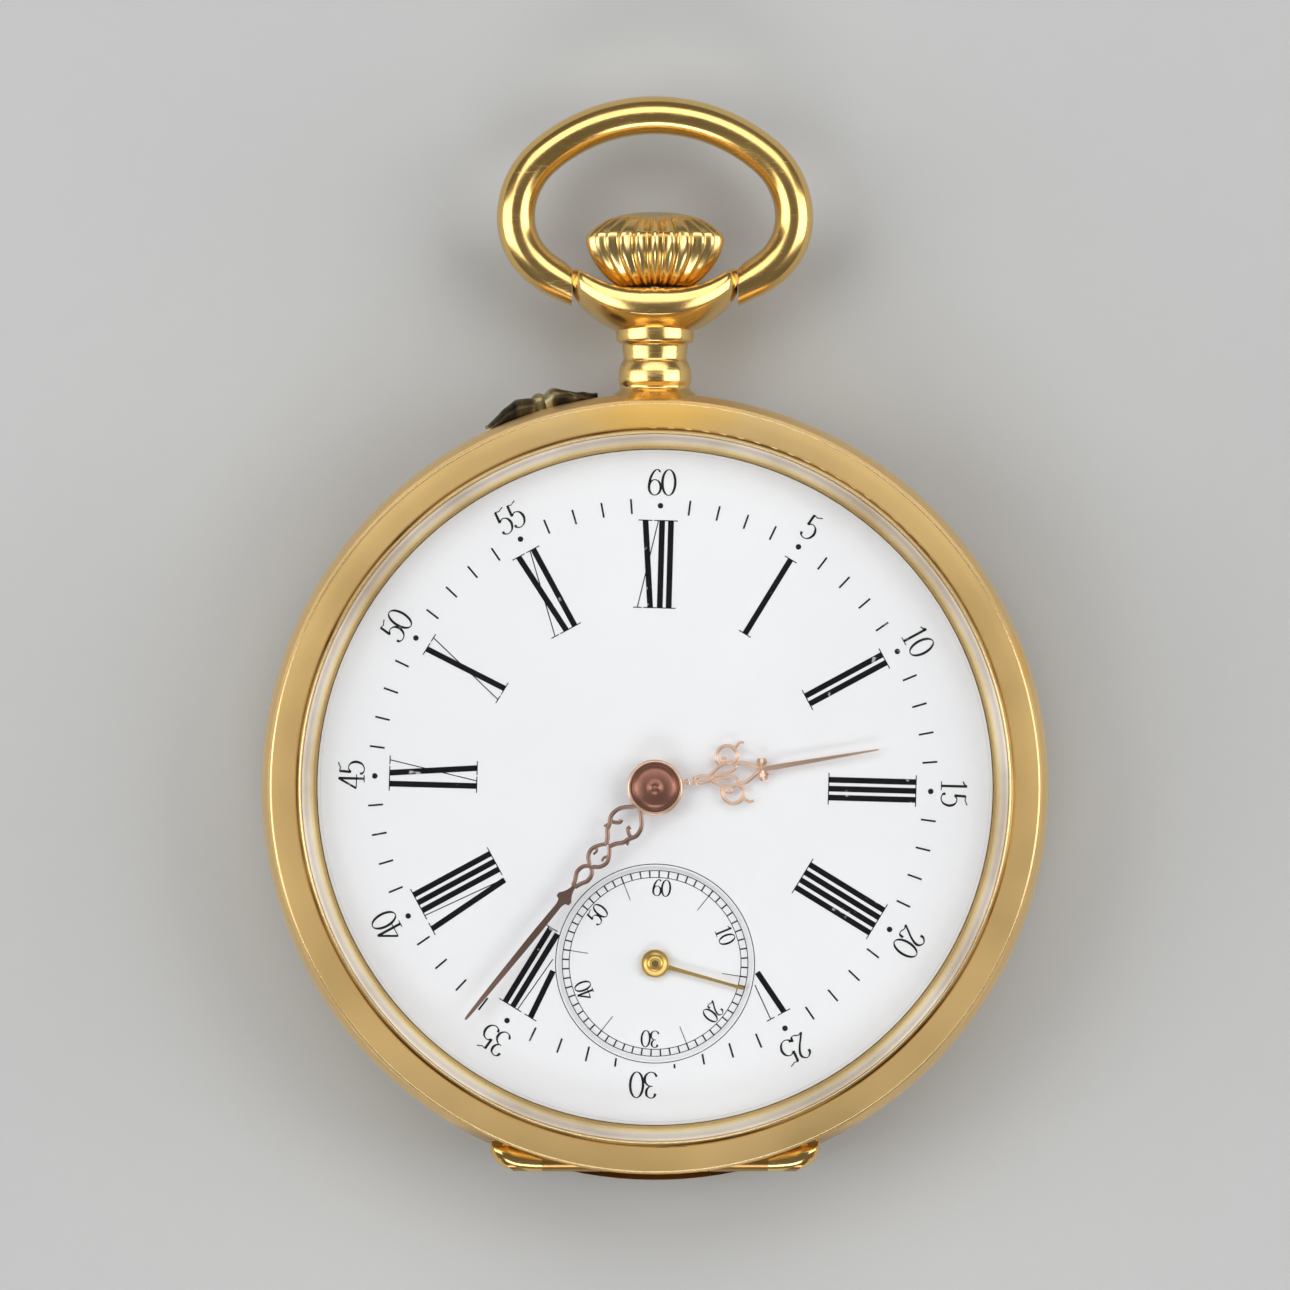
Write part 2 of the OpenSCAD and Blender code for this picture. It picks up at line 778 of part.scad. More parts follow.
module balance_cock() {
    color(gilt)
    difference() {
        union() {
            translate([0, 0, bridge_low])
            linear_extrude(0.75)
            strap(balance_at, 2.3, bridge_screw_at[6], 2.1);
            at(bridge_screw_at[6]) arbor(1.9, bridge_low + 0.7, plate_low);
        }
        at(balance_at) arbor(jewel_r, 0, 8);
        at(bridge_screw_at[6]) arbor(0.36, 0, 8);
        at(stud_at) arbor(0.22, 0, 8);
    }
}
module pallet_cock() {
    color(gilt)
    difference() {
        union() {
            translate([0, 0, 4.55])
            linear_extrude(0.2)
            strap(pallet_at, 0.75, bridge_screw_at[7], 0.9);
            at(bridge_screw_at[7]) arbor(0.8, 4.6, plate_low);
        }
        at(pallet_at) arbor(pivot_hole + gap, 0, 8);
        at(bridge_screw_at[7]) arbor(0.36, 0, 8);
    }
}

// Barrel and winding works --------------------------------------------------------------------------

centre_phase = 0;
centre_pinion_phase = 0;
third_angle = angle_to(centre_at, third_at);
third_pinion_phase = mesh_phase(centre_gear[0], centre_phase, third_pinion[0], third_angle);
third_phase = 0;
fourth_angle = angle_to(third_at, fourth_at);
fourth_pinion_phase = mesh_phase(third_gear[0], third_phase, fourth_pinion[0], fourth_angle);
fourth_phase = 0;
escape_pinion_phase = mesh_phase(fourth_gear[0], fourth_phase, escape_pinion[0], escape_line);
barrel_phase = mesh_phase(centre_pinion[0], centre_pinion_phase, barrel_gear[0],
                          angle_to(centre_at, barrel_at));
ratchet_phase = mesh_phase(crown_gear[0], 0, ratchet_gear[0], angle_to(crown_wheel_at, barrel_at));
drum_r = 7.55;

module barrel() {
    color(gilt)
    at(barrel_at)
    difference() {
        union() {
            gear(barrel_gear, 4.75, 5.2, barrel_phase);
            arbor_drum(drum_r, 3.9, 5.2);
        }
        arbor_drum(drum_r - 0.3, 3, 4.95);
        arbor(0.8 + gap, 0, 8);
    }
}
module arbor_drum(r, low, high) {
    translate([0, 0, low]) cylinder(r = r, h = high - low, $fn = 120);
}
module barrel_cover() {
    color(gilt)
    at(barrel_at)
    difference() {
        arbor_drum(drum_r - 0.3, 3.8, 4.05);
        arbor(0.8 + gap, 0, 8);
    }
}
module barrel_arbor() {
    color(steel)
    at(barrel_at) {
        arbor(0.76, winding_low, 7.0);
        arbor(1.6, 4.12, 4.88);
    }
}
module mainspring() {
    turns = 9;
    steps = 16;
    r0 = 3.2;
    r1 = 7.1;
    thick = 0.16;
    points = [for (i = [0:turns * steps]) let (f = i / (turns * steps)) (r0 + (r1 - r0) * f) * dir(i * 360 / steps)];
    inner = [for (i = [turns * steps:-1:0]) let (f = i / (turns * steps))
        (r0 + (r1 - r0) * f - thick) * dir(i * 360 / steps)];
    color(steel)
    at(barrel_at)
    translate([0, 0, 4.12])
    linear_extrude(0.76)
    polygon(concat(points, inner));
}
module ratchet_wheel() {
    color(steel)
    at(barrel_at)
    gear(ratchet_gear, winding_low, winding_top, ratchet_phase, 0.76);
}
module ratchet_screw() {
    color(blued)
    at(barrel_at)
    screw(1.5, winding_low - 0.2, 0.2 - 0.01, 0, 0.3);
}
module crown_wheel() {
    color(steel)
    at(crown_wheel_at) {
        gear(crown_gear, winding_low, winding_top, 0, 1.2);
        // Lower ring with its end teeth, driven by the winding pinion
        difference() {
            arbor(3.4, winding_top, bridge_top - 0.85);
            arbor(2.85, 0, 8);
        }
        translate([0, 0, bridge_top - 0.85])
        linear_extrude(0.4)
        for (i = [0:23])
            rotate(i * 15)
            translate([2.87, -0.2])
            square([0.5, 0.4]);
    }
}
module crown_wheel_screw() {
    color(steel)
    at(crown_wheel_at)
    difference() {
        union() {
            arbor(1.7, winding_low - 0.2, winding_low - 0.04);
            arbor(1.14, winding_low - 0.1, bridge_low);
            arbor(0.34, bridge_low - eps, bridge_top);
        }
        translate([-1.7, -0.2, winding_low - 0.25]) cube([3.4, 0.4, 0.14]);
    }
}
click_at = [-2.5, 7.1];
module click() {
    color(steel) {
        translate([0, 0, winding_low])
        linear_extrude(winding_top - winding_low)
        polygon([[-3.4, 6.9], [-2.9, 6.2], [-0.62, 5.2], [-0.35, 5.75], [-1.6, 6.9], [-1.7, 7.6], [-2.6, 8.1], [-3.3, 7.8]]);
        at(click_at) arbor(0.26, winding_top - eps, bridge_top);
    }
}
module click_spring() {
    color(steel)
    translate([0, 0, winding_low + 0.05]) {
        linear_extrude(0.45)
        polygon([[-3.55, 7.0], [-3.7, 7.05], [-4.6, 9.2], [-6.9, 11.4], [-6.7, 11.8], [-4.4, 9.3]]);
        translate([-6.9, 11.8, 0]) cylinder(r = 0.9, h = 0.45, $fn = 32);
    }
}
module yoke() {
    color(steel)
    translate([0, 0, yoke_low])
    linear_extrude(0.55)
    difference() {
        union() {
            translate(yoke_at) circle(1.1, $fn = 32);
            polygon([[-8.7, 14.1], [-2.2, 13.9], [-1.6, groove_at - 0.2], [-0.95, groove_at - 0.2],
                     [-0.95, groove_at + 0.2], [-2.2, 14.9], [-8.5, 15.7]]);
        }
        translate(yoke_at) circle(0.45, $fn = 32);
    }
}

// Going train ---------------------------------------------------------------------------------------

module centre_wheel() {
    color(gilt) crossed_wheel(centre_gear, 5.4, 5.62, centre_phase, 1.3, 5, 0.5);
    color(steel) {
        gear(centre_pinion, 4.7, 5.41, centre_pinion_phase);
        arbor(0.3, 2.7, minute_hand_z + 0.5);
    }
}
module third_wheel() {
    at(third_at) {
        color(gilt) crossed_wheel(third_gear, 4.5, 4.7, third_phase, 1.0, 5, 0.4);
        color(steel) gear(third_pinion, 4.69, 5.7, third_pinion_phase);
        color(steel) arbor(pivot_hole, 2.7, 7.2);
    }
}
module fourth_wheel() {
    at(fourth_at) {
        color(gilt) crossed_wheel(fourth_gear, 3.95, 4.13, fourth_phase, 0.9, 5, 0.35);
        color(steel) gear(fourth_pinion, 4.12, 5.0, fourth_pinion_phase);
        color(steel) arbor(0.2, 2.7, dial_top);
    }
}
escape_teeth = 15;
escape_r = 2.6;
module escape_wheel() {
    at(escape_at) {
        color(steel)
        translate([0, 0, 5.0])
        linear_extrude(0.2)
        difference() {
            polygon([for (i = [0:escape_teeth - 1]) let (a = i * 360 / escape_teeth)
                each [1.95 * dir(a - 13), 1.95 * dir(a - 8), escape_r * dir(a + 1), escape_r * dir(a + 5)]]);
            difference() {
                circle(1.6, $fn = 48);
                circle(0.55, $fn = 32);
                spokes(1.6, 0.55, 4, 0.25);
            }
        }
        color(steel) gear(escape_pinion, 3.9, 5.01, escape_pinion_phase);
        color(steel) arbor(pivot_hole, 2.7, 7.2);
    }
}

// Escapement: the fork points from the pallet arbor to the balance staff
fork_z = 5.0;
fork_len = norm(balance_at - pallet_at) - 0.75;
module pallet_fork() {
    at(pallet_at) {
        color(steel)
        rotate(escape_line)
        translate([0, 0, fork_z])
        linear_extrude(0.18)
        difference() {
            union() {
                circle(0.4, $fn = 32);
                translate([0, -0.13]) square([fork_len - 0.2, 0.26]);
                translate([fork_len - 0.45, -0.35]) square([0.45, 0.7]);
                for (s = [-1, 1])
                    polygon([[0.25, 0], [-0.15, s * 1.75], [-0.55, s * 1.75], [-0.25, 0]]);
            }
            translate([fork_len - 0.3, -0.15]) square([1, 0.3]);
        }
        // Clear of the balance wheel above it
        color(steel) arbor(pivot_hole, balance_low + 0.47, 7.2);
    }
}
module pallet_stones() {
    color(ruby)
    at(pallet_at)
    rotate(escape_line)
    for (s = [-1, 1])
        translate([-0.55, s > 0 ? 1.75 : -2.05, fork_z - 0.04])
        cube([0.5, 0.3, 0.28]);
}
balance_r = 5.0;
balance_low = 4.05;
module balance_wheel() {
    color(gilt)
    at(balance_at)
    translate([0, 0, balance_low])
    linear_extrude(0.42)
    difference() {
        circle(balance_r, $fn = 120);
        difference() {
            circle(balance_r - 0.5, $fn = 120);
            circle(0.8);
            rotate(20) spokes(balance_r, 0.8, 3, 0.6);
        }
        circle(0.4, $fn = 32);
    }
}
module balance_screws() {
    color(gold)
    at(balance_at)
    for (i = [0:15])
        rotate(i * 22.5)
        translate([balance_r - 0.02, 0, balance_low + 0.21])
        rotate([0, 90, 0])
        cylinder(r = 0.17, h = 0.32, $fn = 24);
}
module balance_staff() {
    at(balance_at) {
        color(steel) arbor(0.4, 3.35, 5.2);
        color(steel) arbor(pivot_hole - 0.04, 2.6, 7.1);
        // Roller
        color(steel) arbor(0.55, 4.75, 4.85);
    }
}
stud_angle = 75;
stud_at = balance_at + 2.9 * dir(stud_angle);
module hairspring() {
    turns = 10;
    steps = 20;
    r0 = 0.52;
    r1 = 2.9;
    thick = 0.06;
    function spiral(f) = (r0 + (r1 - r0) * f) * dir(stud_angle + (f - 1) * turns * 360);
    n = turns * steps;
    color(blued)
    at(balance_at)
    translate([0, 0, 3.5])
    linear_extrude(0.2)
    polygon(concat([for (i = [0:n]) spiral(i / n)],
                   [for (i = [n:-1:0]) let (p = spiral(i / n)) p * (1 - thick / norm(p))]));
}
module hairspring_stud() {
    color(steel) at(stud_at) arbor(0.22, bridge_low, 3.5);
}
module regulator() {
    color(steel)
    at(balance_at)
    translate([0, 0, bridge_low - 0.3])
    linear_extrude(0.24)
    difference() {
        union() {
            circle(1.35, $fn = 48);
            rotate(130) polygon([[1, -0.35], [4.6, -0.1], [4.6, 0.1], [1, 0.35]]);
            rotate(-50) polygon([[1, -0.3], [2.1, -0.2], [2.1, 0.2], [1, 0.3]]);
        }
        circle(0.9, $fn = 48);
    }
}
module balance_endstone() {
    at(balance_at) {
        color(ruby) arbor(0.62, bridge_low - 0.32, bridge_low - 0.1);
        color(gilt)
        difference() {
            arbor(0.84, bridge_low - 0.3, bridge_low);
            arbor(0.62, bridge_low - 1, bridge_low - 0.1);
        }
    }
}
module jewel(low, high, hole) {
    difference() {
        arbor(jewel_r, low, high);
        arbor(hole, low - 1, high + 1);
    }
}
module train_jewels() {
    color(ruby) {
        for (i = [0:2]) at(jewelled[i]) jewel(bridge_low + 0.3, bridge_top - 0.3, i == 1 ? 0.26 : 0.2);
        jewel(bridge_low + 0.3, bridge_top - 0.3, 0.35);
        at(balance_at) jewel(bridge_low + 0.1, bridge_low + 0.7, 0.18);
        for (i = [0, 1, 2, 3, 4]) at(jewelled[i]) jewel(plate_low + 0.5, plate_top - 0.2, i == 1 ? 0.26 : 0.2);
    }
}
module bridge_screws() {
    color(blued)
    for (i = [0:7])
        at(bridge_screw_at[i])
        if (i == 7) screw(0.6, 4.2, 0.34, 1.9, 0.33);
        else screw(1.0, bridge_low - 0.45, 0.44, 4.3, 0.33);
}
module case_screws() {
    color(blued)
    for (a = case_screw_angles)
        rotate(a)
        at([case_screw_r, 0])
        screw(1.0, plate_low - 0.45, 0.44, 1.0, 0.33);
}

case_middle();
pendant();
bow();
bezel();
crystal();
back_cover();
cuvette();
hinge_pins();
setting_pin();
setting_pin_guard();
crown();
winding_stem();
winding_pinion();
clutch_wheel();
crown_wheel();
crown_wheel_screw();
ratchet_wheel();
ratchet_screw();
click();
click_spring();
yoke();
setting_wheel();
minute_wheel();
hour_wheel();
cannon_pinion();
dial();
seconds_dial();
hour_hand();
minute_hand();
seconds_hand();
main_plate();
barrel_bridge();
train_bridge();
balance_cock();
pallet_cock();
barrel();
barrel_cover();
barrel_arbor();
mainspring();
centre_wheel();
third_wheel();
fourth_wheel();
escape_wheel();
pallet_fork();
pallet_stones();
balance_wheel();
balance_screws();
balance_staff();
hairspring();
hairspring_stud();
regulator();
balance_endstone();
train_jewels();
bridge_screws();
case_screws();
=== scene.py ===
import json
import math

import bmesh
import bpy
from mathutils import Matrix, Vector


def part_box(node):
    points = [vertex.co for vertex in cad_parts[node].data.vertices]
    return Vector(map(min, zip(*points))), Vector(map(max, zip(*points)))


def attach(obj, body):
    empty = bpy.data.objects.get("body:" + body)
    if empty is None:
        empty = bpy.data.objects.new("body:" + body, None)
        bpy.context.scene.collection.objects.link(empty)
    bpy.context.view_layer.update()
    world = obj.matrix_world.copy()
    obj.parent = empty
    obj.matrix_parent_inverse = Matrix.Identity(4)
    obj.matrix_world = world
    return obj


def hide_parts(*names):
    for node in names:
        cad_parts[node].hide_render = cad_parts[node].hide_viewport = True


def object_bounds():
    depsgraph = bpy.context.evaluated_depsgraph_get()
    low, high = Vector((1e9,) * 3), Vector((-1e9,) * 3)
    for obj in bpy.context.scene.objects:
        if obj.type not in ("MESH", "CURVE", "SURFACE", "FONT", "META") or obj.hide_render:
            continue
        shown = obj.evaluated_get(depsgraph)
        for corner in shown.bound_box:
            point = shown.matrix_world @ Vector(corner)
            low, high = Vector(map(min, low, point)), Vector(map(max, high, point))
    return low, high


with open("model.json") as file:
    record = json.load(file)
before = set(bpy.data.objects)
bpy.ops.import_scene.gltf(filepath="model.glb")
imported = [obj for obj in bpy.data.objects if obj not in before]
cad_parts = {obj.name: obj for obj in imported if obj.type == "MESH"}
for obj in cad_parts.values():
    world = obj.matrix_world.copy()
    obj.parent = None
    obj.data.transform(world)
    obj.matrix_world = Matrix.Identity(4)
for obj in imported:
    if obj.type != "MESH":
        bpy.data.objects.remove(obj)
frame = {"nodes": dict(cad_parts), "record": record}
cad_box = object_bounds()

# The frame is in metres. Shapes are drawn in millimetres, and Builder turns them into metres.
MM = 0.001

# ------------------------------------------------------------
# Places, read from the frame
# ------------------------------------------------------------


def node_low(name):
    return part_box(name)[0]


def node_high(name):
    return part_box(name)[1]


def node_centre(name):
    low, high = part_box(name)
    return (low + high) / 2


CASE_R = (node_high("case_middle").x - node_low("case_middle").x) / 2
DIAL_TOP = node_high("dial").z
SECONDS_TOP = node_high("seconds_dial").z
SECONDS_AT = node_centre("seconds_dial")
CROWN_AXIS_Z = node_centre("crown").z

# Bezel and crystal: the groove beside the crystal, the bezel's flat top, and the crystal's rim
GROOVE_R = 21.59
BEZEL_TOP = 9.9
BEVEL_END = 21.6

# The print sits a little clockwise of the pendant and off the dial's centre, the seconds print more so
PRINT_TURN = 1.6
PRINT_CENTRE = (-0.14, 0.22)
SECONDS_TURN = 8.6
# Clock angle of each seconds number
SECONDS_DIGITS = {60: 4.6, 10: 67.7, 20: 129.6, 30: 183.4, 40: 248.7, 50: 310.2}


# ------------------------------------------------------------
# Camera, floor and light
# ------------------------------------------------------------

# The camera looks straight down from VIEW_HEIGHT above the face, and sees VIEW_WIDTH across it
SENSOR = 36
VIEW_WIDTH = 78.3 * MM
VIEW_HEIGHT = 0.70
FACE_Z = 9 * MM
FRAME_CENTRE = Vector((-0.61 * MM, 8.64 * MM, 0))


def make_camera():
    data = bpy.data.cameras.new("camera")
    data.sensor_width = SENSOR
    data.lens = SENSOR * VIEW_HEIGHT / VIEW_WIDTH
    data.clip_start = 0.01
    data.clip_end = 10
    camera = bpy.data.objects.new("camera", data)
    camera.location = FRAME_CENTRE + Vector((0, 0, VIEW_HEIGHT + FACE_Z))
    bpy.context.collection.objects.link(camera)
    bpy.context.scene.camera = camera


def area_light(name, place, aim, size, power, colour):
    data = bpy.data.lights.new(name, "AREA")
    data.shape = "RECTANGLE"
    data.size, data.size_y = size
    data.energy = power
    data.color = colour
    light = bpy.data.objects.new(name, data)
    light.location = place
    light.rotation_euler = (Vector(aim) - Vector(place)).to_track_quat("-Z", "Y").to_euler()
    bpy.context.collection.objects.link(light)


def make_lights():
    world = bpy.data.worlds.new("studio")
    world.use_nodes = True
    back = world.node_tree.nodes["Background"]
    back.inputs["Color"].default_value = (1.0, 0.97, 0.93, 1)
    back.inputs["Strength"].default_value = 0.15
    bpy.context.scene.world = world
    area_light("left_box", (-0.60, -0.02, 0.42), (0, 0, 0), (0.40, 0.80), 3.3, (1, 0.985, 0.96))
    area_light("right_box", (0.62, 0.02, 0.42), (0, 0, 0), (0.40, 0.74), 3.1, (1, 0.985, 0.96))
    area_light("top_box", (0.0, 0.46, 0.66), (0, 0.02, 0), (1.20, 0.46), 3.5, (0.98, 0.985, 1))
    area_light("front_box", (-0.05, -0.70, 0.52), (0, 0, 0), (0.60, 0.20), 2.0, (0.98, 0.985, 1))


# ------------------------------------------------------------
# Materials
# ------------------------------------------------------------


class Nodes:
    """A material's node tree with short calls for the nodes used here."""

    def __init__(self, name):
        self.material = bpy.data.materials.new(name)
        self.material.use_nodes = True
        self.tree = self.material.node_tree
        self.shader = self.tree.nodes["Principled BSDF"]
        self.place = self.tree.nodes.new("ShaderNodeTexCoord").outputs["Object"]

    def set(self, **values):
        """Sets sockets of the shader, named in lower case with underscores."""
        for key, value in values.items():
            self.shader.inputs[key.replace("_", " ").title().replace("Ior", "IOR")].default_value = value
        return self

    def link(self, source, target):
        self.tree.links.new(source, target)

    def mapped(self, scale, turn=(0, 0, 0)):
        node = self.tree.nodes.new("ShaderNodeMapping")
        node.inputs["Scale"].default_value = scale
        node.inputs["Rotation"].default_value = turn
        self.link(self.place, node.inputs["Vector"])
        return node.outputs["Vector"]

    def noise(self, scale, detail=4, stretch=None, turn=(0, 0, 0), distortion=0.0):
        node = self.tree.nodes.new("ShaderNodeTexNoise")
        node.inputs["Scale"].default_value = scale
        node.inputs["Detail"].default_value = detail
        node.inputs["Distortion"].default_value = distortion
        source = self.mapped(stretch, turn) if stretch else self.place
        self.link(source, node.inputs["Vector"])
        return node.outputs["Fac"]

    def ramp(self, source, stops):
        node = self.tree.nodes.new("ShaderNodeValToRGB")
        ramp = node.color_ramp
        while len(ramp.elements) < len(stops):
            ramp.elements.new(0.5)
        for element, (at, colour) in zip(ramp.elements, stops):
            element.position = at
            element.color = colour if len(colour) == 4 else (*colour, 1)
        self.link(source, node.inputs["Fac"])
        return node.outputs["Color"]

    def grey_ramp(self, source, low_at, low, high_at, high):
        return self.ramp(source, [(low_at, (low, low, low)), (high_at, (high, high, high))])

    def math(self, operation, first, second):
        node = self.tree.nodes.new("ShaderNodeMath")
        node.operation = operation
        for socket, value in zip(node.inputs, (first, second)):
            if isinstance(value, (int, float)):
                socket.default_value = value
            else:
                self.link(value, socket)
        return node.outputs[0]

    def mixed(self, share, base, colour):
        """The base colour, turned into another colour by a share."""
        node = self.tree.nodes.new("ShaderNodeMix")
        node.data_type = "RGBA"
        self.link(share, node.inputs["Factor"])
        self.link(base, node.inputs["A"])
        node.inputs["B"].default_value = (*colour, 1)
        return node.outputs["Result"]

    def tinted(self, first, second):
        """Two colours multiplied."""
        node = self.tree.nodes.new("ShaderNodeMix")
        node.data_type = "RGBA"
        node.blend_type = "MULTIPLY"
        node.inputs["Factor"].default_value = 1
        self.link(first, node.inputs["A"])
        self.link(second, node.inputs["B"])
        return node.outputs["Result"]

    def from_axis(self, unit):
        """The distance from the watch's axis, divided by a unit length."""
        node = self.tree.nodes.new("ShaderNodeVectorMath")
        node.operation = "LENGTH"
        self.link(self.mapped((1, 1, 0)), node.inputs[0])
        return self.math("MULTIPLY", node.outputs["Value"], 1 / unit)

    def bump(self, height, strength, distance, shader=None):
        node = self.tree.nodes.new("ShaderNodeBump")
        node.inputs["Strength"].default_value = strength
        node.inputs["Distance"].default_value = distance
        self.link(height, node.inputs["Height"])
        self.link(node.outputs["Normal"], (shader or self.shader).inputs["Normal"])


def metal(name, dark, light, rough, grain=900, bump=0.03, scratches=True, spread=0.06):
    """A worked metal: slow colour drift, uneven polish, hairline wear and a fine surface."""
    m = Nodes(name).set(metallic=1.0)
    drift = m.noise(60, 3)
    m.link(m.ramp(drift, [(0.3, dark), (0.7, light)]), m.shader.inputs["Base Color"])
    polish = m.noise(140, 5)
    rough_now = m.grey_ramp(polish, 0.3, max(0.02, rough - spread), 0.75, rough + spread)
    if scratches:
        wear = m.noise(1, 5, stretch=(500, 5200, 500), turn=(0, 0, 0.6), distortion=1.5)
        rough_now = m.math("ADD", rough_now, m.grey_ramp(wear, 0.55, 0.0, 0.75, 0.10))
    m.link(rough_now, m.shader.inputs["Roughness"])
    m.bump(m.noise(grain, 6), bump, 0.00003)
    return m.material


def banded_case(name):
    """The band: satin like the bezel, but polished round the hinges at its foot, and darker there: painted
    shade, with some tarnish.
    """
    m = Nodes(name).set(metallic=1.0)
    split = m.tree.nodes.new("ShaderNodeSeparateXYZ")
    m.link(m.place, split.inputs["Vector"])
    low = m.math("MULTIPLY", split.outputs["Y"], -1 / CASE_R)
    low = m.math("ADD", low, m.math("MULTIPLY", m.noise(200, 3), 0.02))
    # Base colour darker towards the foot (-Y): painted shade, with some tarnish
    m.link(m.ramp(low, [(0.86, (0.86, 0.62, 0.29)), (0.905, (0.50, 0.29, 0.10)), (0.95, (0.46, 0.26, 0.09))]),
           m.shader.inputs["Base Color"])
    uneven = m.grey_ramp(m.noise(140, 5), 0.3, 0.0, 0.75, 0.1)
    m.link(m.math("ADD", m.grey_ramp(low, 0.86, 0.42, 0.91, 0.25), uneven), m.shader.inputs["Roughness"])
    m.bump(m.noise(900, 6), 0.06, 0.00003)
    return m.material


def bezel_gold(name):
    """Satin gold with painted shade in the groove beside the crystal, and a painted deep yellow reflection of
    the pendant beside it.
    """
    m = Nodes(name).set(metallic=1.0)
    light = m.ramp(m.noise(60, 3), [(0.3, (0.74, 0.505, 0.20)), (0.7, (0.82, 0.575, 0.25))])
    # The painted reflection of the pendant: an ellipse lying along the bezel, with a ragged edge
    middle, squash, reach = 22.75 * MM, 2.6, 10 * MM
    pendant_reflection = m.tree.nodes.new("ShaderNodeVectorMath")
    pendant_reflection.operation = "DISTANCE"
    m.link(m.mapped((1, squash, 0)), pendant_reflection.inputs[0])
    pendant_reflection.inputs[1].default_value = (0, squash * middle, 0)
    away = m.math("MULTIPLY", pendant_reflection.outputs["Value"], 1 / reach)
    away = m.math("ADD", away, m.math("MULTIPLY", m.noise(420, 3), 0.25))
    light = m.mixed(m.grey_ramp(away, 0.34, 0.65, 0.72, 0.0), light, (0.86, 0.52, 0.10))
    # Painted shade in the groove beside the crystal, uneven along it
    edges = [(GROOVE_R, 0), (GROOVE_R + 0.06, 1), (GROOVE_R + 0.18, 1), (GROOVE_R + 0.25, 0)]
    groove = m.ramp(m.from_axis(CASE_R), [(r * MM / CASE_R, (share, share, share)) for r, share in edges])
    groove_shade = m.math("MULTIPLY", groove, m.grey_ramp(m.noise(120, 5), 0.36, 0.5, 0.6, 0.97))
    m.link(m.mixed(groove_shade, light, (0.07, 0.035, 0.012)), m.shader.inputs["Base Color"])
    m.link(m.grey_ramp(m.noise(140, 5), 0.3, 0.40, 0.75, 0.50), m.shader.inputs["Roughness"])
    m.bump(m.noise(900, 6), 0.08, 0.00003)
    return m.material


def tarnished(name):
    """Worn gold with nearly black grime over most of it."""
    m = Nodes(name).set(metallic=0.8)
    m.link(m.ramp(m.noise(520, 3, distortion=0.6),
                  [(0.40, (0.014, 0.010, 0.006)), (0.55, (0.09, 0.065, 0.03)), (0.66, (0.50, 0.43, 0.24))]),
           m.shader.inputs["Base Color"])
    m.link(m.grey_ramp(m.noise(900, 4), 0.3, 0.35, 0.7, 0.6), m.shader.inputs["Roughness"])
    m.bump(m.noise(1500, 5), 0.4, 0.00005)
    return m.material


def enamel(name):
    """White fired glaze with a faint cloud and a slow wave in its surface."""
    m = Nodes(name).set(specular_ior_level=0.5, coat_weight=0.5, coat_roughness=0.04)
    cloud = m.noise(70, 4)
    m.link(m.ramp(cloud, [(0.3, (0.915, 0.915, 0.945)), (0.7, (0.95, 0.95, 0.975))]),
           m.shader.inputs["Base Color"])
    m.link(m.grey_ramp(m.noise(300, 5), 0.35, 0.12, 0.7, 0.22), m.shader.inputs["Roughness"])
    m.bump(m.noise(110, 2), 0.06, 0.0001)
    return m.material


def ink(name, colour, wear, bare):
    """Fired print, worn through to grey in small nicks."""
    m = Nodes(name).set(specular_ior_level=0.1)
    nicks = m.noise(1500, 6)
    pale = tuple(c * 3 + bare for c in colour)
    m.link(m.ramp(nicks, [(wear, colour), (wear + 0.06, pale)]), m.shader.inputs["Base Color"])
    m.link(m.grey_ramp(m.noise(900, 3), 0.3, 0.25, 0.7, 0.5), m.shader.inputs["Roughness"])
    return m.material


# Crystal's bevel: how much painted reflection and highlight covers it from its inner edge outwards, and the
# colour painted there
BEVEL_PAINTED_SHARE = [(20.62, 0), (20.74, 0.55), (21.15, 0.75), (21.2, 0.15), (21.27, 0.7)]
BEVEL_PAINTED_COLOURS = [(20.62, (0.80, 0.62, 0.28)), (20.90, (0.95, 0.82, 0.50)), (20.96, (0.90, 0.86, 0.80)),
                 (21.13, (0.66, 0.62, 0.57)), (21.18, (0.95, 0.91, 0.85)), (21.28, (0.72, 0.68, 0.63)),
                 (21.34, (0.95, 0.90, 0.82))]


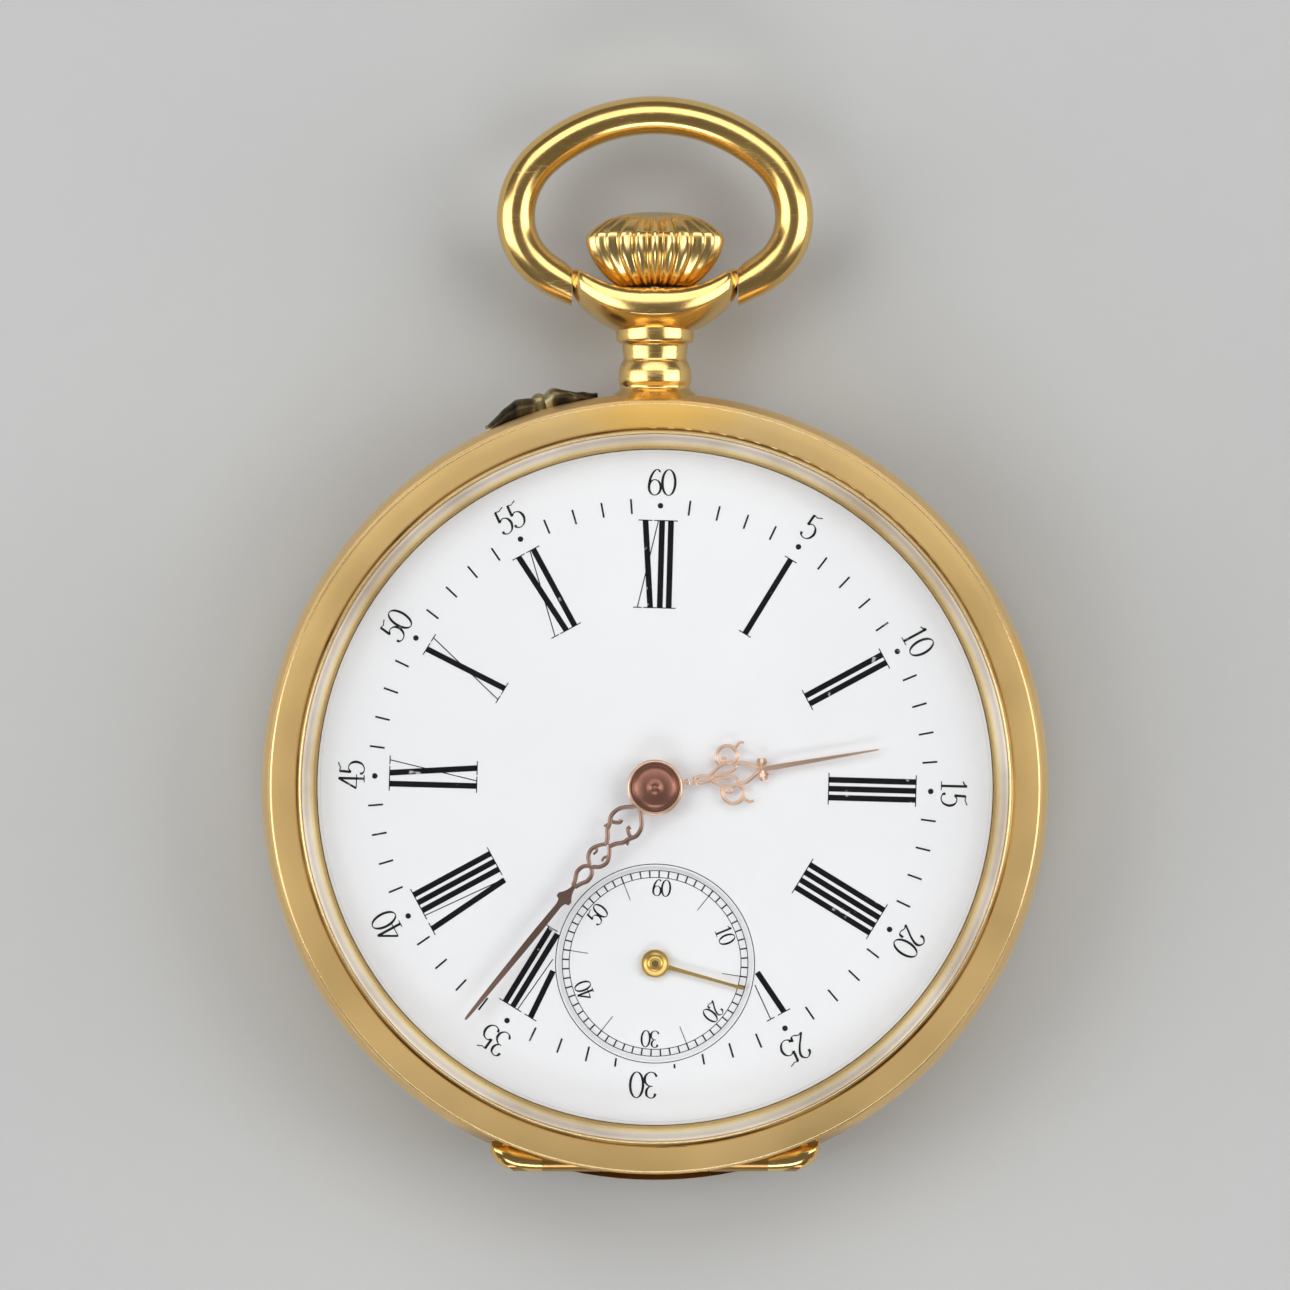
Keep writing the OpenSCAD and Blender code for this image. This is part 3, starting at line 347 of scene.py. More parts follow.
def crystal_glass(name):
    """Clear glass with a faint haze, and a bevel round its edge painted with reflections and highlights."""
    m = Nodes(name)
    tree = m.tree

    def blended(share, first, second):
        node = tree.nodes.new("ShaderNodeMixShader")
        m.link(share, node.inputs["Fac"])
        m.link(first, node.inputs[1])
        m.link(second, node.inputs[2])
        return node.outputs["Shader"]

    clear = tree.nodes.new("ShaderNodeBsdfTransparent")
    clear.inputs["Color"].default_value = (0.985, 0.99, 0.99, 1)
    gloss = tree.nodes.new("ShaderNodeBsdfGlossy")
    facing = tree.nodes.new("ShaderNodeLayerWeight").outputs["Facing"]
    shine = m.math("ADD", m.math("MULTIPLY", m.math("POWER", facing, 5), 0.9), 0.035)
    haze = m.noise(500, 5, distortion=0.4)
    m.link(m.grey_ramp(haze, 0.35, 0.02, 0.75, 0.10), gloss.inputs["Roughness"])
    m.bump(haze, 0.03, 0.00003, gloss)
    glass = blended(shine, clear.outputs["BSDF"], gloss.outputs["BSDF"])

    # The bevel: a diffuse layer of painted reflections and highlights over the glass, gold at its inner edge
    place = m.from_axis(BEVEL_END * MM)
    share = m.ramp(place, [(r / BEVEL_END, (grey, grey, grey)) for r, grey in BEVEL_PAINTED_SHARE])
    colour = m.ramp(place, [(r / BEVEL_END, colour) for r, colour in BEVEL_PAINTED_COLOURS])
    streaks = m.ramp(m.noise(110, 5), [(0.36, (0.66, 0.60, 0.54)), (0.60, (1, 1, 1))])
    painted_bevel = tree.nodes.new("ShaderNodeBsdfDiffuse")
    m.link(m.tinted(colour, streaks), painted_bevel.inputs["Color"])
    surface = blended(share, glass, painted_bevel.outputs["BSDF"])
    m.link(surface, tree.nodes["Material Output"].inputs["Surface"])
    tree.nodes.remove(m.shader)
    return m.material


def jewel(name):
    """Synthetic ruby, half clear."""
    m = Nodes(name).set(ior=1.76, transmission_weight=0.35, coat_weight=0.6)
    m.link(m.ramp(m.noise(900, 3), [(0.3, (0.42, 0.01, 0.05)), (0.7, (0.62, 0.03, 0.10))]),
           m.shader.inputs["Base Color"])
    m.link(m.grey_ramp(m.noise(1500, 2), 0.3, 0.04, 0.7, 0.12), m.shader.inputs["Roughness"])
    return m.material


def backdrop(name):
    """Matt grey paper."""
    m = Nodes(name)
    cloud = m.noise(9, 5)
    m.link(m.ramp(cloud, [(0.25, (0.450, 0.460, 0.462)), (0.75, (0.495, 0.505, 0.507))]),
           m.shader.inputs["Base Color"])
    m.link(m.grey_ramp(m.noise(600, 4), 0.3, 0.75, 0.7, 0.9), m.shader.inputs["Roughness"])
    m.bump(m.noise(1500, 4), 0.05, 0.0001)
    return m.material


def make_materials():
    return {
        "case": metal("case_gold", (0.72, 0.49, 0.19), (0.80, 0.56, 0.24), 0.46, bump=0.08),
        "band": banded_case("band_gold"),
        "bezel": bezel_gold("bezel_gold"),
        "polished": metal("polished_gold", (0.79, 0.51, 0.165), (0.87, 0.60, 0.235), 0.21, bump=0.03),
        "crown": metal("crown_gold", (0.74, 0.52, 0.20), (0.84, 0.62, 0.28), 0.24, bump=0.02, scratches=False),
        # Paler copy of the gold for the lip and bead: a painted highlight
        "rim": metal("rim_gold_painted_highlight", (0.86, 0.66, 0.34), (0.93, 0.75, 0.45), 0.24, bump=0.0, scratches=False,
                     spread=0.02),
        "cuvette": metal("cuvette_gold", (0.72, 0.48, 0.16), (0.80, 0.56, 0.21), 0.2),
        "tarnish": tarnished("tarnished_gold"),
        "rose": metal("rose_gold", (0.26, 0.155, 0.12), (0.44, 0.285, 0.225), 0.36, scratches=False),
        "boss": metal("rose_gold_dome", (0.26, 0.11, 0.08), (0.36, 0.17, 0.125), 0.42),
        "rose_ring": metal("rose_gold_ring", (0.78, 0.52, 0.38), (0.88, 0.62, 0.48), 0.40, scratches=False),
        "gilt_hand": metal("gilt_hand", (0.66, 0.42, 0.10), (0.88, 0.62, 0.22), 0.34, grain=2600, bump=0.25,
                           scratches=False),
        "plate": metal("frosted_gilt", (0.66, 0.58, 0.42), (0.74, 0.66, 0.49), 0.36, grain=4000, bump=0.12),
        "gilt": metal("gilt_brass", (0.70, 0.50, 0.19), (0.80, 0.60, 0.26), 0.22, scratches=False),
        "steel": metal("polished_steel", (0.46, 0.47, 0.49), (0.58, 0.59, 0.61), 0.2, scratches=False),
        "blued": metal("blued_steel", (0.02, 0.035, 0.20), (0.05, 0.09, 0.34), 0.16, scratches=False),
        "enamel": enamel("enamel"),
        "ink": ink("black_print", (0.002, 0.002, 0.004), 0.665, 0.45),
        "fine_ink": ink("fine_print", (0.014, 0.014, 0.015), 0.64, 0.16),
        "crystal": crystal_glass("crystal_glass"),
        "ruby": jewel("ruby"),
        "backdrop": backdrop("backdrop"),
    }


# The material of each CAD slot, and of the nodes that differ from their slot
SLOT_MATERIALS = {
    "case_gold": "case", "cuvette_gold": "cuvette", "polished_gold": "polished",
    "tarnished_gold": "tarnish", "crystal": "crystal", "enamel": "enamel", "rose_gold": "rose",
    "seconds_gilt": "gilt_hand", "nickel_plate": "plate", "gilt_brass": "gilt",
    "balance_gilt": "gilt", "steel": "steel", "blued_steel": "blued", "ruby": "ruby",
}
NODE_MATERIALS = {"case_middle": "band", "bezel": "bezel", "setting_pin": "tarnish"}


def finish_cad_nodes(materials):
    slots = {s["node"]: s["material_slot"] for s in frame["record"]["subparts"]}
    for name, piece in frame["nodes"].items():
        material = materials[NODE_MATERIALS.get(name, SLOT_MATERIALS[slots[name]])]
        piece.data.materials.clear()
        piece.data.materials.append(material)
        piece.material_slots[0].material = material


# ------------------------------------------------------------
# Mesh helpers
# ------------------------------------------------------------


def new_piece(name, verts, faces, material, body, smooth):
    """A mesh that rides a body and fills a material slot."""
    mesh = bpy.data.meshes.new(name)
    mesh.from_pydata([tuple(v) for v in verts], [], faces)
    mesh.validate()
    work = bmesh.new()
    work.from_mesh(mesh)
    bmesh.ops.recalc_face_normals(work, faces=work.faces)
    work.to_mesh(mesh)
    work.free()
    mesh.materials.append(material)
    if smooth:
        mesh.polygons.foreach_set("use_smooth", [True] * len(mesh.polygons))
    piece = bpy.data.objects.new(name, mesh)
    bpy.context.collection.objects.link(piece)
    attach(piece, body)
    return piece


def left_of(line, i):
    """The unit vector to the left of a line at its point i."""
    ax, ay = line[max(i - 1, 0)]
    bx, by = line[min(i + 1, len(line) - 1)]
    length = math.hypot(bx - ax, by - ay) or 1
    return -(by - ay) / length, (bx - ax) / length


class Builder:
    """Collects solids into one mesh, in millimetres."""

    def __init__(self):
        self.verts = []
        self.faces = []

    def add(self, verts, faces):
        base = len(self.verts)
        self.verts += [Vector(v) * MM for v in verts]
        self.faces += [tuple(i + base for i in f) for f in faces]

    def prism(self, outline, low, high):
        """A flat outline, listed anticlockwise, raised from low to high."""
        n = len(outline)
        verts = [(x, y, low) for x, y in outline] + [(x, y, high) for x, y in outline]
        walls = [(i, (i + 1) % n, (i + 1) % n + n, i + n) for i in range(n)]
        self.add(verts, walls + [tuple(range(n - 1, -1, -1)), tuple(range(n, 2 * n))])

    def ribbon(self, line, widths, low, high):
        """A flat stroke along a line, with a width at each point."""
        left, right = [], []
        for i, (x, y) in enumerate(line):
            nx, ny = left_of(line, i)
            w = widths[i] / 2
            left.append((x + nx * w, y + ny * w))
            right.append((x - nx * w, y - ny * w))
        n = len(line)
        verts = [(x, y, z) for z in (low, high) for x, y in right + left]
        faces = []
        for i in range(n - 1):
            a, b, c, d = i, i + 1, n + i + 1, n + i
            top = 2 * n
            faces += [(a, d, c, b), (a + top, b + top, c + top, d + top),
                      (a, b, b + top, a + top), (d, d + top, c + top, c)]
        faces += [(0, 2 * n, 3 * n, n), (n - 1, 2 * n - 1, 4 * n - 1, 3 * n - 1)]
        self.add(verts, faces)

    def wire(self, line, radii, z, flat=0.7, sides=8):
        """A rounded wire lying in the plane of the dial."""
        n = len(line)
        verts = []
        for i, (x, y) in enumerate(line):
            nx, ny = left_of(line, i)
            for k in range(sides):
                t = 2 * math.pi * k / sides
                r = radii[i]
                verts.append((x + nx * r * math.cos(t), y + ny * r * math.cos(t), z + r * flat * math.sin(t)))
        faces = []
        for i in range(0, (n - 1) * sides, sides):
            for k in range(sides):
                m = (k + 1) % sides
                faces.append((i + k, i + sides + k, i + sides + m, i + m))
        faces += [tuple(range(sides)), tuple(range(n * sides - 1, (n - 1) * sides - 1, -1))]
        self.add(verts, faces)

    def turned(self, profile, centre=(0, 0), steps=96):
        """A profile of (radius, height) points, from axis to axis, turned about Z."""
        verts, faces, rings = [], [], []
        for r, z in profile:
            if r < 1e-6:
                rings.append([len(verts)])
                verts.append((centre[0], centre[1], z))
            else:
                rings.append(list(range(len(verts), len(verts) + steps)))
                verts += [(centre[0] + r * math.cos(2 * math.pi * k / steps),
                           centre[1] + r * math.sin(2 * math.pi * k / steps), z) for k in range(steps)]
        for a, b in zip(rings, rings[1:]):
            for k in range(steps):
                m = (k + 1) % steps
                if len(a) == 1 and len(b) == 1:
                    break
                if len(a) == 1:
                    faces.append((a[0], b[k], b[m]))
                elif len(b) == 1:
                    faces.append((a[k], b[0], a[m]))
                else:
                    faces.append((a[k], b[k], b[m], a[m]))
        if len(rings[0]) > 1 and len(rings[-1]) > 1:
            for k in range(steps):
                m = (k + 1) % steps
                faces.append((rings[-1][k], rings[0][k], rings[0][m], rings[-1][m]))
        self.add(verts, faces)

    def piece(self, name, material, body, slot, smooth=True):
        return new_piece(name, self.verts, self.faces, material, body, smooth)


def sharpen(piece, degrees=35):
    """Smooth shading that keeps edges sharper than the angle."""
    edges = bmesh.new()
    edges.from_mesh(piece.data)
    limit = math.radians(degrees)
    for edge in edges.edges:
        edge.smooth = len(edge.link_faces) == 2 and edge.calc_face_angle(0) < limit
    edges.to_mesh(piece.data)
    edges.free()


def spline(points, steps):
    """A smooth line through the points (Catmull-Rom)."""
    n = len(points)
    line = []
    for i in range(n - 1):
        p = [points[min(max(i + k, 0), n - 1)] for k in (-1, 0, 1, 2)]
        for s in range(steps):
            t = s / steps
            line.append(tuple(
                0.5 * (2 * p[1][a] + (p[2][a] - p[0][a]) * t
                       + (2 * p[0][a] - 5 * p[1][a] + 4 * p[2][a] - p[3][a]) * t * t
                       + (3 * p[1][a] - p[0][a] - 3 * p[2][a] + p[3][a]) * t ** 3)
                for a in range(len(p[1]))))
    line.append(tuple(points[-1]))
    return line


def arc(cx, cy, rx, ry, start, end, steps=24):
    """Points on an ellipse, angles in degrees."""
    return [(cx + rx * math.cos(math.radians(start + (end - start) * i / steps)),
             cy + ry * math.sin(math.radians(start + (end - start) * i / steps)))
            for i in range(steps + 1)]


# ------------------------------------------------------------
# Print on the dial
# ------------------------------------------------------------

PRINT_LIFT = 0.012
PRINT_HEIGHT = 0.012
CUT_STEP = 0.12

# Centre lines of the digits in a box one unit tall, each with whether it closes on itself
DIGITS = {
    "0": [(arc(0.30, 0.5, 0.25, 0.5, 90, 450, 36), True)],
    "1": [([(0.31, 1.0), (0.31, 0.0)], False), ([(0.31, 0.99), (0.24, 0.90), (0.12, 0.84)], False),
          ([(0.14, 0.0), (0.48, 0.0)], False)],
    "2": [(spline([(0.12, 0.74), (0.13, 0.88), (0.29, 1.0), (0.46, 0.90), (0.48, 0.72), (0.36, 0.46),
                   (0.18, 0.20), (0.08, 0.03), (0.22, 0.07), (0.38, 0.0), (0.50, 0.04),
                   (0.53, 0.20)], 6), False)],
    "3": [(spline([(0.10, 0.82), (0.16, 0.96), (0.30, 1.0), (0.44, 0.90), (0.45, 0.70), (0.34, 0.56),
                   (0.22, 0.54)], 6), False),
          (spline([(0.22, 0.54), (0.38, 0.52), (0.52, 0.36), (0.50, 0.14), (0.34, 0.0), (0.16, 0.03),
                   (0.07, 0.17)], 6), False)],
    "4": [([(0.42, 1.0), (0.42, 0.0)], False), ([(0.42, 1.0), (0.04, 0.30)], False),
          ([(0.04, 0.30), (0.58, 0.30)], False), ([(0.28, 0.0), (0.56, 0.0)], False)],
    "5": [([(0.16, 0.97), (0.30, 0.93), (0.50, 1.02)], False), ([(0.16, 0.97), (0.13, 0.52)], False),
          (spline([(0.13, 0.52), (0.28, 0.62), (0.46, 0.54), (0.53, 0.32), (0.44, 0.09), (0.26, 0.0),
                   (0.10, 0.06), (0.07, 0.17)], 6), False)],
    "6": [(arc(0.30, 0.30, 0.23, 0.30, 0, 360, 30), True),
          (spline([(0.50, 0.90), (0.40, 1.0), (0.26, 0.92), (0.13, 0.68), (0.07, 0.36)], 6), False)],
}
DIGIT_STEP = 0.54


def on_ring(radius, across, clock, centre=(0, 0)):
    """The place at a radius along a clock angle, moved across it to the right."""
    a = math.radians(clock)
    return (centre[0] + radius * math.sin(a) + across * math.cos(a),
            centre[1] + radius * math.cos(a) - across * math.sin(a))


def clipped(line, widths, hole):
    """The stretches of a line that stay outside a round hole (x, y, radius)."""
    runs, points, sizes = [], [], []
    for i in range(len(line) - 1):
        steps = max(2, int(math.dist(line[i], line[i + 1]) / CUT_STEP))
        for s in range(steps):
            t = s / steps
            x = line[i][0] + (line[i + 1][0] - line[i][0]) * t
            y = line[i][1] + (line[i + 1][1] - line[i][1]) * t
            if math.hypot(x - hole[0], y - hole[1]) > hole[2]:
                points.append((x, y))
                sizes.append(widths[i])
            elif points:
                runs.append((points, sizes))
                points, sizes = [], []
    if math.hypot(line[-1][0] - hole[0], line[-1][1] - hole[1]) > hole[2]:
        points.append(line[-1])
        sizes.append(widths[-1])
    runs.append((points, sizes))
    return [run for run in runs if len(run[0]) > 1]


def draw_number(build, text, radius, clock, height, thin, thick, z, centre=(0, 0)):
    """Digits with upright strokes heavier than level ones, standing with their tops outwards."""
    start = -DIGIT_STEP * len(text) / 2 * height
    for index, digit in enumerate(text):
        for line, closed in DIGITS[digit]:
            if closed:
                line = line + line[1:2]
            placed, widths = [], []
            for i, (x, y) in enumerate(line):
                px, py = line[max(i - 1, 0)]
                qx, qy = line[min(i + 1, len(line) - 1)]
                upright = abs(qy - py) / (math.hypot(qx - px, qy - py) or 1)
                widths.append(thin + (thick - thin) * upright ** 2.5)
                across = start + (x + DIGIT_STEP * index) * height
                placed.append(on_ring(radius + (y - 0.5) * height, across, clock, centre))
            build.ribbon(placed, widths, z, z + PRINT_HEIGHT)


# Roman letters: strokes of (place at the top, place at the foot, heavy), and the room that each
# letter takes before and after its middle, over the gap
LETTERS = {
    "I": ([(0, 0, True)], 0.0, 0.0),
    "V": ([(-0.42, 0.10, True), (0.50, 0.17, False)], 0.357, 0.30),
    "X": ([(-0.22, 0.21, True), (0.57, -0.57, False)], 0.34, 0.252),
}
# The seconds dial takes the place of VI
NUMERALS = {1: "I", 2: "II", 3: "III", 4: "IIII", 5: "V",
            7: "VII", 8: "VIII", 9: "IX", 10: "X", 11: "XI", 12: "XII"}
NUMERAL_LOW = 10.68
NUMERAL_HIGH = 15.98
HEAVY = 0.35
HAIR = 0.06
HEAVY_SERIF = 0.42
HAIR_SERIF = 0.26
LETTER_GAP = 0.54


def letter_places(text):
    """Each letter with its place across the numeral, the middle at 0."""
    places, x = [], 0.0
    for index, letter in enumerate(text):
        _, before, after = LETTERS[letter]
        if index:
            x += LETTER_GAP + before
        places.append((x, letter))
        x += after
    middle = (places[0][0] + places[-1][0]) / 2
    return [(x - middle, letter) for x, letter in places]


def draw_stroke(build, ends, width, z, hole):
    """A straight stroke, cut where it meets the round hole."""
    for line, widths in clipped(ends, [width, width], hole):
        build.ribbon(line, widths, z, z + PRINT_HEIGHT)


def draw_numeral(build, hour, z, hole):
    """An hour's numeral: its strokes, each ended by hairline serifs."""
    clock = hour * 30 + PRINT_TURN
    for x, letter in letter_places(NUMERALS[hour]):
        for top, foot, heavy in LETTERS[letter][0]:
            ends = [on_ring(NUMERAL_HIGH, x + top, clock, PRINT_CENTRE),
                    on_ring(NUMERAL_LOW, x + foot, clock, PRINT_CENTRE)]
            draw_stroke(build, ends, HEAVY if heavy else HAIR, z, hole)
            reach = HEAVY_SERIF if heavy else HAIR_SERIF
            serifs = [(NUMERAL_HIGH, top), (NUMERAL_LOW, foot)]
            if letter == "V":
                serifs = serifs[:1]
            for radius, place in serifs:
                ends = [on_ring(radius, x + place + side * reach, clock, PRINT_CENTRE) for side in (-1, 1)]
                draw_stroke(build, ends, HAIR, z, hole)


def circle_line(centre, radius, steps=180):
    """Points round a circle, the first of them again at the end."""
    return [(centre[0] + radius * math.cos(2 * math.pi * i / steps),
             centre[1] + radius * math.sin(2 * math.pi * i / steps)) for i in range(steps + 1)]


def draw_circle(build, centre, radius, width, z):
    line = circle_line(centre, radius)
    build.ribbon(line, [width] * len(line), z, z + PRINT_HEIGHT)


def draw_dot(build, centre, radius, z):
    build.prism(circle_line(centre, radius, 20)[:-1], z, z + PRINT_HEIGHT)


# Radii of the minute track, and of the seconds track with its frame; height, thin stroke and thick
# stroke of their digits; and the hole that the seconds dial leaves in the big dial's print
TICKS = (16.42, 17.33)
DOTS = 16.88
MINUTE_NUMBERS = 18.3
SECONDS_FRAME = 6.04
SECONDS_RINGS = (5.22, 5.64)
SECONDS_NUMBERS = 4.60
SECONDS_HAIRLINE = 4.12
MINUTE_TYPE = (1.56, 0.06, 0.155)
SECONDS_TYPE = (1.0, 0.045, 0.12)
HOLE_R = 6.18


def make_dial_print(materials):
    """Numerals, minute track and seconds track, each a thin layer lying on the enamel."""
    z = DIAL_TOP / MM + PRINT_LIFT - PRINT_HEIGHT
    centre = (SECONDS_AT.x / MM, SECONDS_AT.y / MM)
    hole = (*centre, HOLE_R)
    heavy = Builder()
    for hour in NUMERALS:
        draw_numeral(heavy, hour, z, hole)
    heavy.piece("hour_numerals", materials["ink"], "case", "enamel", smooth=False)

    fine = Builder()
    for minute in range(60):
        clock = minute * 6 + PRINT_TURN
        if minute % 5:
            draw_stroke(fine, [on_ring(radius, 0, clock, PRINT_CENTRE) for radius in TICKS], 0.115, z, hole)
        elif minute != 30:
            draw_dot(fine, on_ring(DOTS, 0, clock, PRINT_CENTRE), 0.17, z)
    for minute in range(5, 65, 5):
        clock = minute * 6 + PRINT_TURN
        draw_number(fine, str(minute), MINUTE_NUMBERS, clock, *MINUTE_TYPE, z, PRINT_CENTRE)
    draw_circle(fine, centre, SECONDS_FRAME, 0.05, z)
    fine.piece("minute_track", materials["fine_ink"], "case", "enamel", smooth=False)

    small = Builder()
    z = SECONDS_TOP / MM + PRINT_LIFT - PRINT_HEIGHT
    for radius in SECONDS_RINGS:
        draw_circle(small, centre, radius, 0.045, z)
    for second in range(60):
        clock = second * 6 + SECONDS_TURN
        ends = [on_ring(radius, 0, clock, centre) for radius in SECONDS_RINGS]
        small.ribbon(ends, [0.085, 0.085], z, z + PRINT_HEIGHT)
        if second % 10 == 5:
            ends = [on_ring(radius, 0, clock, centre) for radius in (SECONDS_HAIRLINE, SECONDS_RINGS[0])]
            small.ribbon(ends, [0.04, 0.045], z, z + PRINT_HEIGHT)
    for second, clock in SECONDS_DIGITS.items():
        draw_number(small, str(second), SECONDS_NUMBERS, clock, *SECONDS_TYPE, z, centre)
    small.piece("seconds_track", materials["fine_ink"], "case", "enamel", smooth=False)


# ------------------------------------------------------------
# Hands
# ------------------------------------------------------------

# Heights above the underside of a pierced hand
WIRE_MIDDLE = 0.10
BLADE_LOW = 0.03
BLADE_HIGH = 0.17


def turned_line(line, angle, centre=(0, 0)):
    """A line drawn along X, turned about the centre."""
    c, s = math.cos(angle), math.sin(angle)
    return [(centre[0] + x * c - y * s, centre[1] + x * s + y * c) for x, y in line]


def hand_angle(node, centre=(0, 0)):
    """The direction in which a CAD hand points: towards its furthest vertex."""
    mesh = frame["nodes"][node].data
    far = max(mesh.vertices, key=lambda v: math.hypot(v.co.x - centre[0], v.co.y - centre[1]))
    return math.atan2(far.co.y - centre[1], far.co.x - centre[0])


def blade(stations):
    """An outline from stations of (place, half width) along the hand."""
    return [(x, -w) for x, w in stations] + [(x, w) for x, w in reversed(stations)]


def hand_wire(build, angle, z, scale=1.0):
    """A function that lays a wire along a line, its radius running from one value to another."""
    def wire(line, start, end=None):
        end = start if end is None else end
        radii = [scale * (start + (end - start) * i / (len(line) - 1)) for i in range(len(line))]
        build.wire(turned_line(line, angle), radii, z)
    return wire


def curved(points, side, steps):
    """A spline, mirrored across the hand where side is -1."""
    return spline([(x, y * side) for x, y in points], steps)


def make_hour_hand(materials):
    """The pierced hand: beads, a leaf between two scrolls, a cross bead and a tapering blade."""
    angle = hand_angle("hour_hand")
    low = node_low("hour_hand").z / MM
    build = Builder()
    wire = hand_wire(build, angle, low + WIRE_MIDDLE, 1.08)

    # Neck of beads
    wire([(1.35, 0), (1.9, 0), (2.1, 0)], 0.12)
    for x, r in ((2.0, 0.20), (2.42, 0.28)):
        wire(arc(x, 0, 0.05, r, -90, 90, 6), 0.10)
    for side in (1, -1):
        # Leaf and the inner scroll growing out of it
        wire(curved([(2.45, 0.02), (2.75, 0.20), (3.15, 0.16), (3.5, 0.05)], side, 6), 0.095)
        wire(curved([(3.35, 0.05), (3.65, 0.34), (4.25, 0.70), (4.75, 0.72), (5.05, 0.45), (4.7, 0.17),
                     (4.1, 0.13), (3.6, 0.10)], side, 6), 0.095)
        # Outer scroll, curling back on itself, with its tail
        wire(curved([(4.15, 0.62), (3.95, 1.0), (4.05, 1.42), (4.45, 1.75), (4.95, 1.68), (5.25, 1.25),
                     (5.15, 0.85), (4.9, 0.66)], side, 6), 0.105)
        wire(curved([(4.98, 1.64), (5.25, 1.62), (5.5, 1.82), (5.78, 1.78)], side, 5), 0.10, 0.07)
        wire(arc(4.38, 0.92 * side, 0.12, 0.12, 0, 360, 12), 0.11)
        # Strands that close on the cross bead
        wire(curved([(5.02, 0.55), (5.45, 0.62), (5.95, 0.36), (6.45, 0.06)], side, 6), 0.10, 0.12)
        # Cross bead
        wire(curved([(6.62, 0.06), (6.60, 0.28), (6.64, 0.46)], side, 5), 0.16, 0.33)
        wire(curved([(6.64, 0.46), (6.66, 0.56), (6.68, 0.66)], side, 4), 0.33, 0.22)
    # Blade, and the collar round the hub
    stations = [(6.3, 0.13), (6.9, 0.14), (7.6, 0.16), (9, 0.135), (11, 0.10), (13.0, 0.065), (13.68, 0.05),
                (13.78, 0.02)]
    build.prism(turned_line(blade(stations), angle), low + BLADE_LOW, low + BLADE_HIGH)
    build.turned([(1.60, low + 0.02), (1.68, low + 0.10), (1.62, low + 0.20), (1.45, low + 0.20),
                  (1.0, low + 0.16), (1.0, low + 0.02)])
    hand = build.piece("hour_hand_pierced", materials["rose_ring"], "hour", "rose_gold")
    sharpen(hand, 50)
    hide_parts("hour_hand")


def make_minute_hand(materials):
    """The pierced hand: two links, a teardrop, an arrowhead and a blade, with a dome at its middle."""
    angle = hand_angle("minute_hand")
    low = node_low("minute_hand").z / MM
    build = Builder()
    wire = hand_wire(build, angle, low + WIRE_MIDDLE)

    for side in (1, -1):
        # First link: a long loop with hooks turned in from its sides
        wire(curved([(1.45, 0.02), (1.85, 0.42), (2.35, 0.86), (2.95, 0.98), (3.45, 0.74), (3.8, 0.62),
                     (4.15, 0.32), (4.55, 0.10)], side, 6), 0.13, 0.14)
        wire(curved([(3.28, 0.84), (3.18, 0.55), (2.98, 0.32), (2.8, 0.36)], side, 5), 0.11, 0.13)
        wire(curved([(3.5, 0.74), (3.78, 0.92)], side, 4), 0.13, 0.06)
        # Second link
        wire(curved([(4.5, 0.10), (4.85, 0.40), (5.35, 0.62), (5.8, 0.48), (6.1, 0.16), (6.3, 0.08)],
                    side, 6), 0.12, 0.13)
        wire(curved([(5.0, 0.48), (5.25, 0.30), (5.5, 0.34)], side, 5), 0.10, 0.07)
        # Teardrop
        wire(curved([(6.2, 0.08), (6.5, 0.36), (6.95, 0.42), (7.4, 0.20), (7.75, 0.08)], side, 6), 0.13)
    # Arrowhead and blade
    stations = [(7.55, 0.12), (7.95, 0.14), (8.2, 0.22), (8.42, 0.34), (8.62, 0.50), (8.85, 0.47),
                (8.92, 0.26), (9.2, 0.18), (11.5, 0.205), (14, 0.18), (16.5, 0.14), (17.8, 0.10),
                (18.12, 0.07), (18.18, 0.02)]
    build.prism(turned_line(blade(stations), angle), low + BLADE_LOW, low + BLADE_HIGH)
    hand = build.piece("minute_hand_pierced", materials["rose"], "minute", "rose_gold")
    sharpen(hand, 50)
    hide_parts("minute_hand")

    high = node_high("cannon_pinion").z / MM + 0.16
    dome = Builder()
    dome.turned([(0, low + 0.02), (1.5, low + 0.02), (1.5, low + 0.16), (1.42, low + 0.24),
                 (1.30, high - 0.20), (1.0, high - 0.10), (0.6, high - 0.04), (0.24, high - 0.02),
                 (0.17, high + 0.10), (0.10, high + 0.16), (0, high + 0.17)])
    boss = dome.piece("minute_hand_dome", materials["boss"], "minute", "rose_gold")
    sharpen(boss, 60)
    rim = Builder()
    rim.turned([(1.46, low + 0.02), (1.66, low + 0.03), (1.70, low + 0.12), (1.64, low + 0.21),
                (1.52, low + 0.23), (1.46, low + 0.17)])
    rim.piece("minute_hand_rim", materials["rose_ring"], "minute", "rose_gold")


